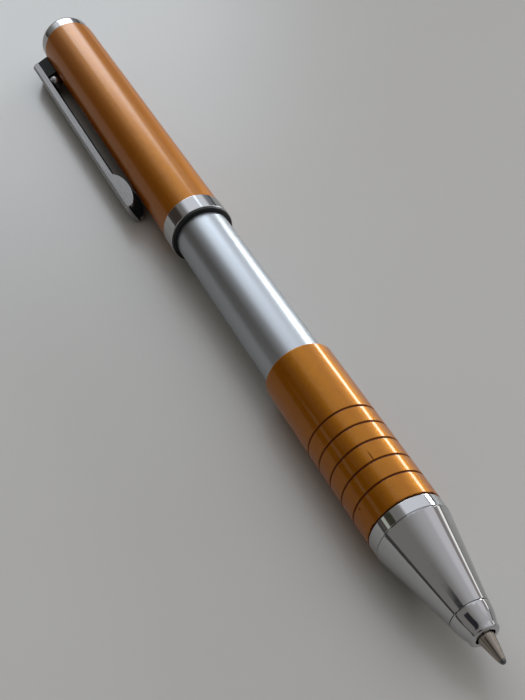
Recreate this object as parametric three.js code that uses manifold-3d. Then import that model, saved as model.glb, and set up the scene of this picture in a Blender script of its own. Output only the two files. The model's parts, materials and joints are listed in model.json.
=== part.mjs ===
// A telescopic ballpoint pen, pulled out to writing length, with its writing tip forward.
// Millimetres, +Z up. The pen lies on the plane z = 0 with its nose towards +X.
// A station is a distance behind the front face of the nose, measured with the pen pulled out.
// A radius chain runs from the refill outwards, so each piece is sized from the one inside it.
import * as THREE from "three";
import { mergeVertices } from "three/addons/utils/BufferGeometryUtils.js";
import Module from "manifold-3d";

const wasm = await Module();
wasm.setup();

// Round pieces
const largeSides = 40;
const smallSides = 32;
const refillSides = 24;
const pinSides = 12;
const ballSides = 16;
const ballRings = 10;

// Clearances
const fitGap = 0.02;
const slideGap = 0.035;
const turnGap = 0.08;
const sleeveGap = 0.1;
const slotGap = 0.1;
const faceGap = 0.05;
const endGap = 0.3;

// Refill
const refillLength = 67;
const refillDiameter = 2.35;
const refillWall = 0.22;
const ballDiameter = 0.7;
const tipProjection = 2.75;
const tipRimWall = 0.06;
const tipMouthRadius = 0.88;
const tipShoulderRadius = 1.0;
const tipShoulderStation = 1.6;
const tipShankStation = 3.4;
const tipShoulderLength = 1;
const tipPlugLength = 3;
const inkLength = 38;

// Refill carrier and return spring
const springWire = 0.28;
const springTurns = 10;
const springStepsPerTurn = 8;
const springWireSides = 5;
const springCoilGap = 0.15;
const springSeatGap = 0.15;
const springSeatMargin = 0.05;
const carrierStubLength = 2.5;
const carrierTail = 1.5;
const retraction = 4;
const pinDiameter = 0.9;
const pinHoleGap = 0.01;
const drivePinFoot = 0.45;
const camPinFoot = 0.47;

// Turning cam and the tubes round it
const camTurn = Math.PI;
const rotorWall = 0.29;
const rotorFrontLand = 2.4;
const rotorEndRoom = 1;
const rotorTail = 3.4;
const rotorPivotRadius = 0.9;
const rotorPivotLength = 0.8;
const guideWall = 0.29;
const guideLipLength = 0.9;
const guideLipInset = 0.3;
const guideCapLength = 1.05;
const guidePlugFlange = 3;
const guidePlugNeck = 2.5;
const guidePlugBoreGap = 0.12;
const sleeveWall = 0.35;
const sleeveFrontLand = 1.5;
const sleeveClosedRoom = 0.75;
const helixSteps = 18;
const guideSlotSteps = 16;
const sleeveSlotSteps = 24;

// Inner tube and its tail
const collarSpigotWall = 0.155;
const collarSpigotLength = 3;
const collarThickness = 1.75;
const collarInset = 1;
const ringGrooveWidth = 0.5;
const frictionCord = 0.34;
const frictionSides = 8;
const tubeWall = 0.25;
const tubeFrontInset = 0.15;

// Barrel
const travel = 24.9;
const bushWall = 0.14;
const bushFlangeThickness = 0.25;
const bushFlangeInset = 0.1;
const barrelWall = 0.26;
const ringSeatDepth = 0.11;
const ringWall = 0.21;
const ringLength = 2.5;
const edgeChamfer = 0.12;
const plugLength = 3.2;
const plugRecess = 1.9;
const capSpigotLength = 1.2;
const capLength = 2.5;
const capStep = 0.08;
const capRounding = 1.25;
const capRoundingSteps = 6;

// Grip
const gripLength = 21.15;
const gripWall = 0.555;
const grooveCount = 5;
const grooveStart = 2.72;
const groovePitch = 2.24;
const grooveWidth = 0.26;
const grooveFloorWidth = 0.13;
const grooveDepth = 0.13;

// Nose
const noseTipLength = 2.4;
const noseConeLength = 9.05;
const noseBandLength = 1.55;
const noseBandStep = 0.02;
const noseSeamRadius = 2.04;
const noseMouthCone = 1.37;
const noseMouthRounding = 0.3;
const noseRoundingSteps = 4;
const noseMouthGap = 0.1;
const noseMouthLand = 1.2;
const noseBoreTaper = 0.8;
const noseBoreGap = 0.125;
const noseSpigotRadius = 1.62;
const noseSpigotLength = 2.8;
const noseSeamChamfer = 0.07;
const noseHollowStart = 8.5;
const threadInsertWall = 0.255;
const threadSpigotWall = 0.55;
const threadLength = 4.5;
const threadEndRoom = 0.9;

// Clip
const clipLength = 38.4;
const clipWidth = 3;
const clipSheet = 0.35;
const clipInset = 0.6;
const clipRearHeight = 2.44;
const clipFrontHeight = 2.16;
const clipSideDepth = 1.02;
const clipCorner = 0.3;
const clipCrown = 0.06;
const clipFlat = 1.2;
const clipEndRounding = 0.5;
const clipEndDrop = 0.45;
const padDepth = 2.0;
const padCentre = 4.3;
const padFrontLength = 5.2;
const padRearLength = 5.4;
const clipArmSteps = 6;
const clipPadSteps = 16;
const clipEndSteps = 4;
const postLength = 3.4;
const postSideGap = 0.05;
const postRounding = 0.8;
const postRoundingSteps = 4;
const postRootWidth = 1.2;
const postRootLength = 1.9;
const postRootInset = 0.9;
const postRootDepth = 0.42;

// Radii, from the refill outwards
const refillRadius = refillDiameter / 2;
const refillBore = refillRadius - refillWall;
const ballRadius = ballDiameter / 2;
const pinRadius = pinDiameter / 2;
const springRadius = refillRadius + springCoilGap + springWire / 2;
const carrierRadius = springRadius + springWire / 2 + springSeatMargin;
const rotorBore = carrierRadius + turnGap;
const rotorRadius = rotorBore + rotorWall;
const guideBore = rotorRadius + turnGap;
const guideRadius = guideBore + guideWall;
const sleeveBore = guideRadius + sleeveGap;
const sleeveRadius = sleeveBore + sleeveWall;
const collarBore = sleeveRadius + sleeveGap;
const collarSpigotRadius = collarBore + collarSpigotWall;
const tubeBore = collarSpigotRadius + fitGap;
const tubeRadius = tubeBore + tubeWall;
const bushBore = tubeRadius + slideGap;
const bushRadius = bushBore + bushWall;
const barrelBore = bushRadius + fitGap;
const barrelRadius = barrelBore + barrelWall;
const ringSeatRadius = barrelRadius - ringSeatDepth;
const ringBore = ringSeatRadius + fitGap;
const ringRadius = ringBore + ringWall;
const gripBore = tubeRadius + fitGap;
const gripRadius = gripBore + gripWall;
const noseBandRadius = gripRadius - noseBandStep;
const noseBore = refillRadius + noseBoreGap;
const noseMouthBore = tipMouthRadius + noseMouthGap;
const threadRadius = tubeBore - fitGap - threadInsertWall;
const threadSpigotRadius = threadRadius - fitGap;
const frictionMinor = frictionCord / 2;
const frictionMajor = barrelBore - fitGap / 2 - frictionMinor;

// Stations of the nose and grip
const seamStation = noseTipLength;
const bandStation = seamStation + noseConeLength;
const noseRear = bandStation + noseBandLength;
const gripFront = noseRear + fitGap;
const gripRear = gripFront + gripLength;
const tubeFront = gripFront + tubeFrontInset;
const threadRear = noseRear + threadLength;
const insertRear = threadRear + threadEndRoom;

// Stations of the refill and the cam, which follow from the refill's length
const refillRear = refillLength - tipProjection;
const lipFront = refillRear + guideLipInset;
const rotorFront = lipFront + guideLipLength + faceGap;
const camPinStation = rotorFront + rotorFrontLand;
const carrierRear = camPinStation + carrierTail;
const rotorBoreEnd = carrierRear + retraction + rotorEndRoom;
const rotorRear = rotorBoreEnd + rotorTail;
const drivePinStation = rotorBoreEnd + rotorTail / 2;
const guideCapFront = rotorRear + faceGap;
const guideRear = guideCapFront + guideCapLength;
const sleeveFront = drivePinStation - sleeveFrontLand;
const guideFlangeRear = sleeveFront - travel - sleeveClosedRoom;
const guideFlangeFront = guideFlangeRear - guidePlugFlange;
const springFrontSeat = guideFlangeRear + guidePlugNeck;

// Stations of the inner tube's tail and the barrel
const mouthStation = gripRear + travel + faceGap;
const collarRear = guideRear - collarInset;
const collarFront = collarRear - collarThickness;
const tubeRear = collarFront - faceGap;
const bushRear = tubeRear - faceGap;
const barrelFront = mouthStation + bushFlangeThickness + fitGap;
const ringRear = barrelFront + ringLength;
const plugFront = collarRear + travel + endGap;
const plugRear = plugFront + plugLength;
const sleeveRear = plugFront + plugRecess - faceGap;
const barrelRear = plugRear + faceGap + capSpigotLength;
const capFront = barrelRear + faceGap;
const capRear = capFront + capLength;

// Stations and heights of the clip, where a height is measured from the pen's axis
const clipRear = barrelRear - clipInset;
const clipFront = clipRear - clipLength;
const postRear = clipRear - clipEndRounding - faceGap;
const postFront = postRear - postLength;
const postRootFront = plugFront + postRootInset;
const postRootRear = postRootFront + postRootLength;
const postRootFloor = barrelBore - fitGap - postRootDepth;

// Angles about the axis, from +Y towards +Z in the pen's own frame
const drivePinAngle = 0;
const camPinAngle = -Math.PI / 2;

// A mesh as a solid for cutting and joining.
function solidOf(geometry) {
  const bare = geometry.clone();
  bare.deleteAttribute("normal");
  bare.deleteAttribute("uv");
  const merged = mergeVertices(bare, 1e-5);
  const vertProperties = new Float32Array(merged.attributes.position.array);
  const triVerts = new Uint32Array(merged.index.array);
  return new wasm.Manifold(new wasm.Mesh({ numProp: 3, vertProperties, triVerts }));
}

// A cut or joined solid as a geometry again.
function geometryOf(solid) {
  const { vertProperties, triVerts } = solid.getMesh();
  const geometry = new THREE.BufferGeometry();
  geometry.setAttribute("position", new THREE.BufferAttribute(new Float32Array(vertProperties), 3));
  geometry.setIndex(new THREE.BufferAttribute(new Uint32Array(triVerts), 1));
  geometry.computeVertexNormals();
  return geometry;
}

function subtract(geometry, ...cutters) {
  const cut = cutters.reduce((solid, cutter) => solid.subtract(solidOf(cutter)), solidOf(geometry));
  return geometryOf(cut);
}

function join(...geometries) {
  return geometryOf(geometries.map(solidOf).reduce((whole, next) => whole.add(next)));
}

// A point of the pen's own frame at a station, a distance from the axis and an angle about it.
function polar(station, radius, angle) {
  return new THREE.Vector3(-station, radius * Math.cos(angle), radius * Math.sin(angle));
}

// A point beside the clip's centre line: a height from the axis and an offset across the clip.
function besideClip(station, height, across) {
  return new THREE.Vector3(-station, -height, across);
}

// A closed skin over sections that all hold the same number of points, with a lid on each end.
function lofted(sections) {
  const count = sections[0].length;
  const positions = sections.flat().flatMap((point) => point.toArray());
  const index = [];
  for (let ring = 0; ring + 1 < sections.length; ring += 1) {
    for (let side = 0; side < count; side += 1) {
      const a = ring * count + side;
      const b = ring * count + ((side + 1) % count);
      index.push(a, b, a + count, b, b + count, a + count);
    }
  }
  const first = sections[0];
  const along = sections[1][0].clone().sub(first[0]);
  const across = first[1].clone().sub(first[0]).normalize();
  const up = along.clone().cross(across).normalize();
  const flat = first.map((point) => new THREE.Vector2(point.dot(across), point.dot(up)));
  const clockwise = THREE.ShapeUtils.isClockWise(flat);
  const last = (sections.length - 1) * count;
  for (const [a, b, c] of THREE.ShapeUtils.triangulateShape(flat, [])) {
    const [p, q, r] = clockwise ? [a, b, c] : [a, c, b];
    index.push(p, q, r, last + p, last + r, last + q);
  }
  const geometry = new THREE.BufferGeometry();
  geometry.setAttribute("position", new THREE.Float32BufferAttribute(positions, 3));
  geometry.setIndex(index);
  return facingOut(geometry);
}

// Turns every face round when the skin encloses a negative volume.
function facingOut(geometry) {
  const at = geometry.attributes.position;
  const index = geometry.index.array;
  const [a, b, c] = [new THREE.Vector3(), new THREE.Vector3(), new THREE.Vector3()];
  let volume = 0;
  for (let i = 0; i < index.length; i += 3) {
    a.fromBufferAttribute(at, index[i]);
    b.fromBufferAttribute(at, index[i + 1]);
    c.fromBufferAttribute(at, index[i + 2]);
    volume += a.dot(b.cross(c));
  }
  if (volume < 0) {
    const turned = Array.from(index);
    for (let i = 0; i < turned.length; i += 3) {
      [turned[i + 1], turned[i + 2]] = [turned[i + 2], turned[i + 1]];
    }
    geometry.setIndex(turned);
  }
  geometry.computeVertexNormals();
  return geometry;
}

// The clip's outer face, as a height from the axis at a share of its length from its rear end.
function clipTop(share) {
  const height = barrelRadius + THREE.MathUtils.lerp(clipRearHeight, clipFrontHeight, share);
  const fromEnd = Math.min(share, 1 - share) * clipLength;
  if (fromEnd >= clipEndRounding) return height;
  const inward = 1 - fromEnd / clipEndRounding;
  return height - clipEndDrop * (1 - Math.sqrt(1 - inward * inward));
}

// The lower edge of the clip's side walls, which swell into a leaf shaped pad near the front.
function clipEdge(share) {
  const line = barrelRadius + THREE.MathUtils.lerp(clipRearHeight, clipFrontHeight, share);
  const fromPad = (1 - share) * clipLength - padCentre;
  const reach = fromPad > 0 ? padRearLength : padFrontLength;
  const inside = Math.max(0, 1 - Math.abs(fromPad) / reach);
  const swell = Math.sin((inside * Math.PI) / 2) ** 2;
  return line - THREE.MathUtils.lerp(clipSideDepth, padDepth, swell);
}

// The clip is one pressed channel: a crowned web with a side wall folded down along each edge.
function clipSection(share) {
  const station = clipRear - share * clipLength;
  const top = clipTop(share);
  const edge = clipEdge(share);
  const half = clipWidth / 2;
  const inner = half - clipSheet;
  const rounded = half - clipCorner * (1 - Math.SQRT1_2);
  const roundedTop = top - clipCorner * (1 - Math.SQRT1_2);
  const outline = [
    [half, edge],
    [half, top - clipCorner],
    [rounded, roundedTop],
    [half - clipCorner, top],
    [clipFlat / 2, top + clipCrown],
    [-clipFlat / 2, top + clipCrown],
    [clipCorner - half, top],
    [-rounded, roundedTop],
    [-half, top - clipCorner],
    [-half, edge],
    [-inner, edge],
    [-inner, top - clipSheet],
    [inner, top - clipSheet],
    [inner, edge],
  ];
  return outline.map(([across, height]) => besideClip(station, height, across));
}

// Sections lie closer together along the rounded ends and over the pad.
function clipShares() {
  const endShare = clipEndRounding / clipLength;
  const padShare = (padCentre + padRearLength) / clipLength;
  const shares = [];
  for (let i = 0; i <= clipEndSteps; i += 1) shares.push(endShare * (i / clipEndSteps) ** 2);
  for (let i = 1; i <= clipArmSteps; i += 1) {
    shares.push(THREE.MathUtils.lerp(endShare, 1 - padShare, i / clipArmSteps));
  }
  for (let i = 1; i <= clipPadSteps; i += 1) {
    shares.push(THREE.MathUtils.lerp(1 - padShare, 1 - endShare, i / clipPadSteps));
  }
  for (let i = clipEndSteps - 1; i >= 0; i -= 1) {
    shares.push(1 - endShare * (i / clipEndSteps) ** 2);
  }
  return shares;
}

const clipGeometry = lofted(clipShares().map(clipSection));

// The roll about the axis at which the pen's round body and the clip's lower edge share one floor.
function restingRoll() {
  const at = clipGeometry.attributes.position;
  let roll = Math.PI / 2;
  for (let i = 0; i < at.count; i += 1) {
    const reach = Math.hypot(at.getY(i), at.getZ(i));
    if (reach > gripRadius) {
      const below = Math.atan2(-at.getZ(i), -at.getY(i));
      roll = Math.min(roll, Math.asin(gripRadius / reach) - below);
    }
  }
  return roll;
}

const restRoll = restingRoll();

// A solid of revolution about the pen's axis. Its profile is a ring of station and radius pairs.
// Every round piece has a corner straight below the axis when the pen lies at rest.
function turned(profile, sides) {
  const ring = profile.map(([station, radius]) => new THREE.Vector2(radius, -station));
  if (THREE.ShapeUtils.isClockWise(ring)) ring.reverse();
  const touchesAxis = ring.some((point) => point.x === 0);
  if (touchesAxis) {
    while (!(ring[0].x === 0 && ring[ring.length - 1].x === 0)) ring.push(ring.shift());
  } else {
    ring.push(ring[0].clone());
  }
  const geometry = new THREE.LatheGeometry(ring, sides, Math.PI - restRoll);
  return geometry.rotateZ(-Math.PI / 2);
}

// A plain tube between two stations, with an optional chamfer on its outer edges.
function tube(front, rear, bore, radius, sides, chamfer = 0) {
  if (chamfer === 0) {
    return turned([[front, bore], [front, radius], [rear, radius], [rear, bore]], sides);
  }
  return turned(
    [
      [front, bore],
      [front, radius - chamfer],
      [front + chamfer, radius],
      [rear - chamfer, radius],
      [rear, radius - chamfer],
      [rear, bore],
    ],
    sides,
  );
}

// A cutter for a slot of one width that follows a path of station and angle pairs through a wall.
function slotCutter(path, width, innerRadius, outerRadius) {
  const middle = (innerRadius + outerRadius) / 2;
  const sections = path.map(([station, angle], i) => {
    const before = path[Math.max(i - 1, 0)];
    const after = path[Math.min(i + 1, path.length - 1)];
    const along = new THREE.Vector2(after[0] - before[0], (after[1] - before[1]) * middle);
    along.normalize().multiplyScalar(width / 2);
    const sideStation = -along.y;
    const sideAngle = along.x / middle;
    return [
      polar(station + sideStation, innerRadius, angle + sideAngle),
      polar(station - sideStation, innerRadius, angle - sideAngle),
      polar(station - sideStation, outerRadius, angle - sideAngle),
      polar(station + sideStation, outerRadius, angle + sideAngle),
    ];
  });
  return lofted(sections);
}

// A path of equal steps between two station and angle pairs, run on past both ends by a length.
function slotPath(from, to, radius, overrun, steps) {
  const run = Math.hypot(to[0] - from[0], (to[1] - from[1]) * radius);
  const extra = overrun / run;
  const path = [];
  for (let i = 0; i <= steps; i += 1) {
    const share = THREE.MathUtils.lerp(-extra, 1 + extra, i / steps);
    path.push([
      THREE.MathUtils.lerp(from[0], to[0], share),
      THREE.MathUtils.lerp(from[1], to[1], share),
    ]);
  }
  return path;
}

// A round pin or hole that points straight out from the axis.
function radialPin(station, angle, innerRadius, outerRadius, radius) {
  const pin = new THREE.CylinderGeometry(radius, radius, outerRadius - innerRadius, pinSides);
  pin.translate(0, (innerRadius + outerRadius) / 2, 0);
  pin.rotateX(angle);
  return pin.translate(-station, 0, 0);
}

// A box beside the clip's centre line, between two stations and two heights.
function blockUnderClip(front, rear, low, high, width) {
  const box = new THREE.BoxGeometry(rear - front, high - low, width);
  return box.translate(-(front + rear) / 2, -(low + high) / 2, 0);
}

// Points of a rounded edge between two directions, in station and radius.
function arcPoints(centreStation, centreRadius, radius, fromAngle, toAngle, steps) {
  return Array.from({ length: steps + 1 }, (unused, i) => {
    const angle = THREE.MathUtils.lerp(fromAngle, toAngle, i / steps);
    return [centreStation - radius * Math.cos(angle), centreRadius + radius * Math.sin(angle)];
  });
}

// The grip is a turned sleeve with a row of narrow grooves near its front edge.
function grip() {
  const outside = [
    [gripFront, gripRadius - edgeChamfer],
    [gripFront + edgeChamfer, gripRadius],
  ];
  for (let i = 0; i < grooveCount; i += 1) {
    const middle = gripFront + grooveStart + i * groovePitch;
    outside.push(
      [middle - grooveWidth / 2, gripRadius],
      [middle - grooveFloorWidth / 2, gripRadius - grooveDepth],
      [middle + grooveFloorWidth / 2, gripRadius - grooveDepth],
      [middle + grooveWidth / 2, gripRadius],
    );
  }
  outside.push([gripRear - edgeChamfer, gripRadius], [gripRear, gripRadius - edgeChamfer]);
  return turned([[gripFront, gripBore], ...outside, [gripRear, gripBore]], largeSides);
}

// The nose tip is a short cone with a rounded mouth, and a spigot that screws into the cone.
function noseTip() {
  const mouthEdge = noseMouthCone - noseMouthRounding;
  const rounding = arcPoints(
    noseMouthRounding,
    mouthEdge,
    noseMouthRounding,
    0,
    Math.PI / 2,
    noseRoundingSteps,
  );
  return turned(
    [
      [0, noseMouthBore],
      ...rounding,
      [seamStation - noseSeamChamfer, noseSeamRadius],
      [seamStation, noseSeamRadius - noseSeamChamfer],
      [seamStation, noseSpigotRadius],
      [seamStation + noseSpigotLength, noseSpigotRadius],
      [seamStation + noseSpigotLength, noseBore],
      [noseMouthLand + noseBoreTaper, noseBore],
      [noseMouthLand, noseMouthBore],
    ],
    largeSides,
  );
}

// The nose cone is hollow behind its middle and ends in the spigot that carries the thread.
function noseCone() {
  const spigotBore = noseSpigotRadius + fitGap;
  const spigotFloor = seamStation + noseSpigotLength + faceGap;
  const hollow = threadSpigotRadius - threadSpigotWall;
  return turned(
    [
      [seamStation + fitGap, spigotBore],
      [seamStation + fitGap, noseSeamRadius - noseSeamChamfer],
      [seamStation + fitGap + noseSeamChamfer, noseSeamRadius],
      [bandStation, noseBandRadius],
      [noseRear, noseBandRadius],
      [noseRear, threadSpigotRadius],
      [threadRear, threadSpigotRadius],
      [threadRear, hollow],
      [noseHollowStart, hollow],
      [noseHollowStart - (hollow - noseBore), noseBore],
      [spigotFloor, noseBore],
      [spigotFloor, spigotBore],
    ],
    largeSides,
  );
}

// The collar plugs the inner tube's rear end, stops it at the bush and carries the friction ring.
function tailCollar() {
  const flangeRadius = barrelBore - slideGap;
  const grooveFloor = frictionMajor - frictionMinor - fitGap / 2;
  const grooveMiddle = (collarFront + collarRear) / 2;
  return turned(
    [
      [collarFront - collarSpigotLength, collarBore],
      [collarFront - collarSpigotLength, collarSpigotRadius],
      [collarFront, collarSpigotRadius],
      [collarFront, flangeRadius],
      [grooveMiddle - ringGrooveWidth / 2, flangeRadius],
      [grooveMiddle - ringGrooveWidth / 2, grooveFloor],
      [grooveMiddle + ringGrooveWidth / 2, grooveFloor],
      [grooveMiddle + ringGrooveWidth / 2, flangeRadius],
      [collarRear, flangeRadius],
      [collarRear, collarBore],
    ],
    largeSides,
  );
}

function frictionRing() {
  const middle = (collarFront + collarRear) / 2;
  const section = arcPoints(middle, frictionMajor, frictionMinor, 0, 2 * Math.PI, frictionSides);
  return turned(section.slice(0, -1), largeSides);
}

// The plug holds the guide tube's front end in the inner tube and seats the return spring.
function guidePlug() {
  const bore = refillRadius + guidePlugBoreGap;
  return turned(
    [
      [guideFlangeFront, bore],
      [guideFlangeFront, tubeBore - fitGap],
      [guideFlangeRear, tubeBore - fitGap],
      [guideFlangeRear, guideBore - fitGap],
      [springFrontSeat, guideBore - fitGap],
      [springFrontSeat, bore],
    ],
    largeSides,
  );
}

// The guide tube has a straight slot for the carrier's pin and a half turn slot for the cam's pin.
function guideTube() {
  const lipRadius = carrierRadius + turnGap;
  const lipRear = lipFront + guideLipLength;
  const blank = turned(
    [
      [guideFlangeRear + faceGap, guideBore],
      [guideFlangeRear + faceGap, guideRadius],
      [guideRear, guideRadius],
      [guideRear, guideBore],
      [lipRear, guideBore],
      [lipRear, lipRadius],
      [lipFront, lipRadius],
      [lipFront, guideBore],
    ],
    smallSides,
  );
  const slotWidth = pinDiameter + 2 * slotGap;
  const overrun = pinRadius + slotGap;
  const inside = guideBore - guideWall;
  const outside = guideRadius + guideWall;
  const straight = slotPath(
    [camPinStation, camPinAngle],
    [camPinStation + retraction, camPinAngle],
    guideRadius,
    overrun,
    1,
  );
  const halfTurn = slotPath(
    [drivePinStation, drivePinAngle],
    [drivePinStation, drivePinAngle + camTurn],
    guideRadius,
    overrun,
    guideSlotSteps,
  );
  return subtract(
    blank,
    slotCutter(straight, slotWidth, inside, outside),
    slotCutter(halfTurn, slotWidth, inside, outside),
  );
}

function guideCap() {
  const bore = rotorPivotRadius + turnGap;
  return tube(guideCapFront, guideRear, bore, guideBore - fitGap, smallSides);
}

// The rotor turns in the guide tube. Its helical slot drives the carrier's pin back and forth.
function rotor() {
  const blank = turned(
    [
      [rotorFront, rotorBore],
      [rotorFront, rotorRadius],
      [rotorRear, rotorRadius],
      [rotorRear, rotorPivotRadius],
      [rotorRear + rotorPivotLength, rotorPivotRadius],
      [rotorRear + rotorPivotLength, 0],
      [rotorBoreEnd, 0],
      [rotorBoreEnd, rotorBore],
    ],
    smallSides,
  );
  const helix = slotPath(
    [camPinStation, camPinAngle],
    [camPinStation + retraction, camPinAngle - camTurn],
    rotorRadius,
    pinRadius + slotGap,
    helixSteps,
  );
  const slotWidth = pinDiameter + 2 * slotGap;
  const cutter = slotCutter(helix, slotWidth, rotorBore - rotorWall, rotorRadius + rotorWall);
  const hole = radialPin(
    drivePinStation,
    drivePinAngle,
    drivePinFoot - pinHoleGap,
    guideRadius,
    pinRadius + pinHoleGap,
  );
  return subtract(blank, cutter, hole);
}

function drivePin() {
  const end = sleeveRadius - faceGap;
  return radialPin(drivePinStation, drivePinAngle, drivePinFoot, end, pinRadius);
}

// The spiral sleeve is fixed in the barrel. Its half turn slot swings the rotor as the pen opens.
function spiralSleeve() {
  const blank = tube(sleeveFront, sleeveRear, sleeveBore, sleeveRadius, largeSides);
  const spiral = slotPath(
    [drivePinStation, drivePinAngle],
    [drivePinStation + travel, drivePinAngle + camTurn],
    sleeveRadius,
    pinRadius + slotGap,
    sleeveSlotSteps,
  );
  const slotWidth = pinDiameter + 2 * slotGap;
  return subtract(
    blank,
    slotCutter(spiral, slotWidth, sleeveBore - sleeveWall, sleeveRadius + sleeveWall),
  );
}

// The carrier's stub presses into the refill's open end, and its shoulder seats the spring.
function refillCarrier() {
  const stubRadius = refillBore - fitGap;
  const blank = turned(
    [
      [refillRear - carrierStubLength, 0],
      [refillRear - carrierStubLength, stubRadius],
      [refillRear + fitGap, stubRadius],
      [refillRear + fitGap, carrierRadius],
      [carrierRear, carrierRadius],
      [carrierRear, 0],
    ],
    smallSides,
  );
  const hole = radialPin(
    camPinStation,
    camPinAngle,
    camPinFoot - pinHoleGap,
    guideRadius,
    pinRadius + pinHoleGap,
  );
  return subtract(blank, hole);
}

function camPin() {
  return radialPin(camPinStation, camPinAngle, camPinFoot, guideRadius - faceGap, pinRadius);
}

function refillTube() {
  return tube(tipShankStation, refillRear, refillBore, refillRadius, refillSides);
}

// The refill's tip narrows to a socket for the ball, and its plug closes the tube's front end.
function refillTip() {
  const ballStation = ballRadius - tipProjection;
  const socketRadius = ballRadius + fitGap;
  const rimStation = ballStation - fitGap;
  return turned(
    [
      [ballStation + socketRadius, 0],
      [ballStation + socketRadius, socketRadius],
      [rimStation, socketRadius],
      [rimStation, socketRadius + tipRimWall],
      [0, tipMouthRadius],
      [tipShoulderStation, tipShoulderRadius],
      [tipShoulderStation + tipShoulderLength, refillRadius - fitGap],
      [tipShankStation - faceGap, refillRadius - fitGap],
      [tipShankStation - faceGap, refillBore - fitGap],
      [tipShankStation + tipPlugLength, refillBore - fitGap],
      [tipShankStation + tipPlugLength, 0],
    ],
    refillSides,
  );
}

function tipBall() {
  const ball = new THREE.SphereGeometry(ballRadius, ballSides, ballRings);
  return ball.rotateZ(Math.PI / 2).translate(tipProjection - ballRadius, 0, 0);
}

function inkColumn() {
  const front = tipShankStation + tipPlugLength + faceGap;
  const radius = refillBore - fitGap;
  return turned(
    [[front, 0], [front, radius], [front + inkLength, radius], [front + inkLength, 0]],
    refillSides,
  );
}

// The return spring is one open wound wire, from the guide plug's neck to the carrier's shoulder.
function springCentres() {
  const front = springFrontSeat + springSeatGap + springWire / 2;
  const rear = refillRear + fitGap - springSeatGap - springWire / 2;
  const steps = springTurns * springStepsPerTurn;
  return Array.from({ length: steps + 1 }, (unused, i) => {
    const angle = (2 * Math.PI * i) / springStepsPerTurn;
    return { station: THREE.MathUtils.lerp(front, rear, i / steps), angle };
  });
}

function returnSpring() {
  const centres = springCentres();
  const sections = centres.map(({ station, angle }) =>
    Array.from({ length: springWireSides }, (unused, k) => {
      const turn = (2 * Math.PI * k) / springWireSides;
      const outward = springRadius + (springWire / 2) * Math.cos(turn);
      return polar(station + (springWire / 2) * Math.sin(turn), outward, angle);
    }),
  );
  return lofted(sections);
}

// The least clear gap between the spring's neighbouring turns, measured on its centre points.
function leastSpringGap() {
  const points = springCentres().map(({ station, angle }) => polar(station, springRadius, angle));
  let least = Infinity;
  for (let i = 0; i < points.length; i += 1) {
    for (let j = i + springStepsPerTurn / 2; j < points.length; j += 1) {
      least = Math.min(least, points[i].distanceTo(points[j]) - springWire);
    }
  }
  return least;
}

// The bush lines the barrel. Its dark flange shows at the mouth, and its rear end stops the collar.
function slideBush() {
  const flangeRadius = ringRadius - bushFlangeInset;
  const flangeRear = mouthStation + bushFlangeThickness;
  return turned(
    [
      [mouthStation, bushBore],
      [mouthStation, flangeRadius],
      [flangeRear, flangeRadius],
      [flangeRear, bushRadius],
      [bushRear, bushRadius],
      [bushRear, bushBore],
    ],
    largeSides,
  );
}

// The barrel is turned down under the ring, and a notch in its rear end takes the clip's post.
function rearBarrel() {
  const seatRear = ringRear + fitGap;
  const blank = turned(
    [
      [barrelFront, barrelBore],
      [barrelFront, ringSeatRadius],
      [seatRear, ringSeatRadius],
      [seatRear, barrelRadius],
      [barrelRear, barrelRadius],
      [barrelRear, barrelBore],
    ],
    largeSides,
  );
  const notch = blockUnderClip(
    postRootFront - faceGap,
    barrelRear + faceGap,
    barrelBore - barrelWall,
    barrelRadius + barrelWall,
    postRootWidth + 2 * faceGap,
  );
  return subtract(blank, notch);
}

// The end plug holds the spiral sleeve's rear end, and a pocket in its side locks the clip's post.
function endPlug() {
  const blank = turned(
    [
      [plugFront, sleeveRadius + fitGap],
      [plugFront, barrelBore - fitGap],
      [plugRear, barrelBore - fitGap],
      [plugRear, 0],
      [plugFront + plugRecess, 0],
      [plugFront + plugRecess, sleeveRadius + fitGap],
    ],
    largeSides,
  );
  const pocket = blockUnderClip(
    postRootFront - faceGap,
    postRootRear + faceGap,
    postRootFloor - faceGap,
    barrelRadius,
    postRootWidth + 2 * faceGap,
  );
  return subtract(blank, pocket);
}

// The end cap is a shallow dome with a flat centre, on a spigot pressed into the barrel.
function endCap() {
  const radius = barrelRadius - capStep;
  const dome = arcPoints(
    capRear - capRounding,
    radius - capRounding,
    capRounding,
    Math.PI / 2,
    Math.PI,
    capRoundingSteps,
  );
  return turned(
    [
      [plugRear + faceGap, 0],
      [plugRear + faceGap, barrelBore - fitGap],
      [capFront, barrelBore - fitGap],
      [capFront, radius],
      ...dome,
      [capRear, 0],
    ],
    largeSides,
  );
}

// The post stands on the barrel inside the clip's channel, with its root in the end plug.
function clipPost() {
  const top = clipTop(clipRearShare(postFront)) - clipSheet - faceGap;
  const profile = new THREE.Shape();
  profile.moveTo(-postRear, 0);
  profile.lineTo(-postRear, -top);
  profile.lineTo(-(postFront + postRounding), -top);
  for (let i = 1; i <= postRoundingSteps; i += 1) {
    const angle = (Math.PI / 2) * (i / postRoundingSteps);
    profile.lineTo(
      -(postFront + postRounding) + postRounding * Math.sin(angle),
      -(top - postRounding) - postRounding * Math.cos(angle),
    );
  }
  profile.lineTo(-postFront, 0);
  profile.closePath();
  const width = clipWidth - 2 * clipSheet - 2 * postSideGap;
  const block = new THREE.ExtrudeGeometry(profile, { depth: width, bevelEnabled: false });
  block.translate(0, 0, -width / 2);
  const seat = turned(
    [
      [postFront - endGap, 0],
      [postFront - endGap, barrelRadius + fitGap],
      [postRear + endGap, barrelRadius + fitGap],
      [postRear + endGap, 0],
    ],
    largeSides,
  );
  const root = blockUnderClip(postRootFront, postRootRear, postRootFloor, top - clipSheet, postRootWidth);
  return join(subtract(block, seat), root);
}

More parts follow.
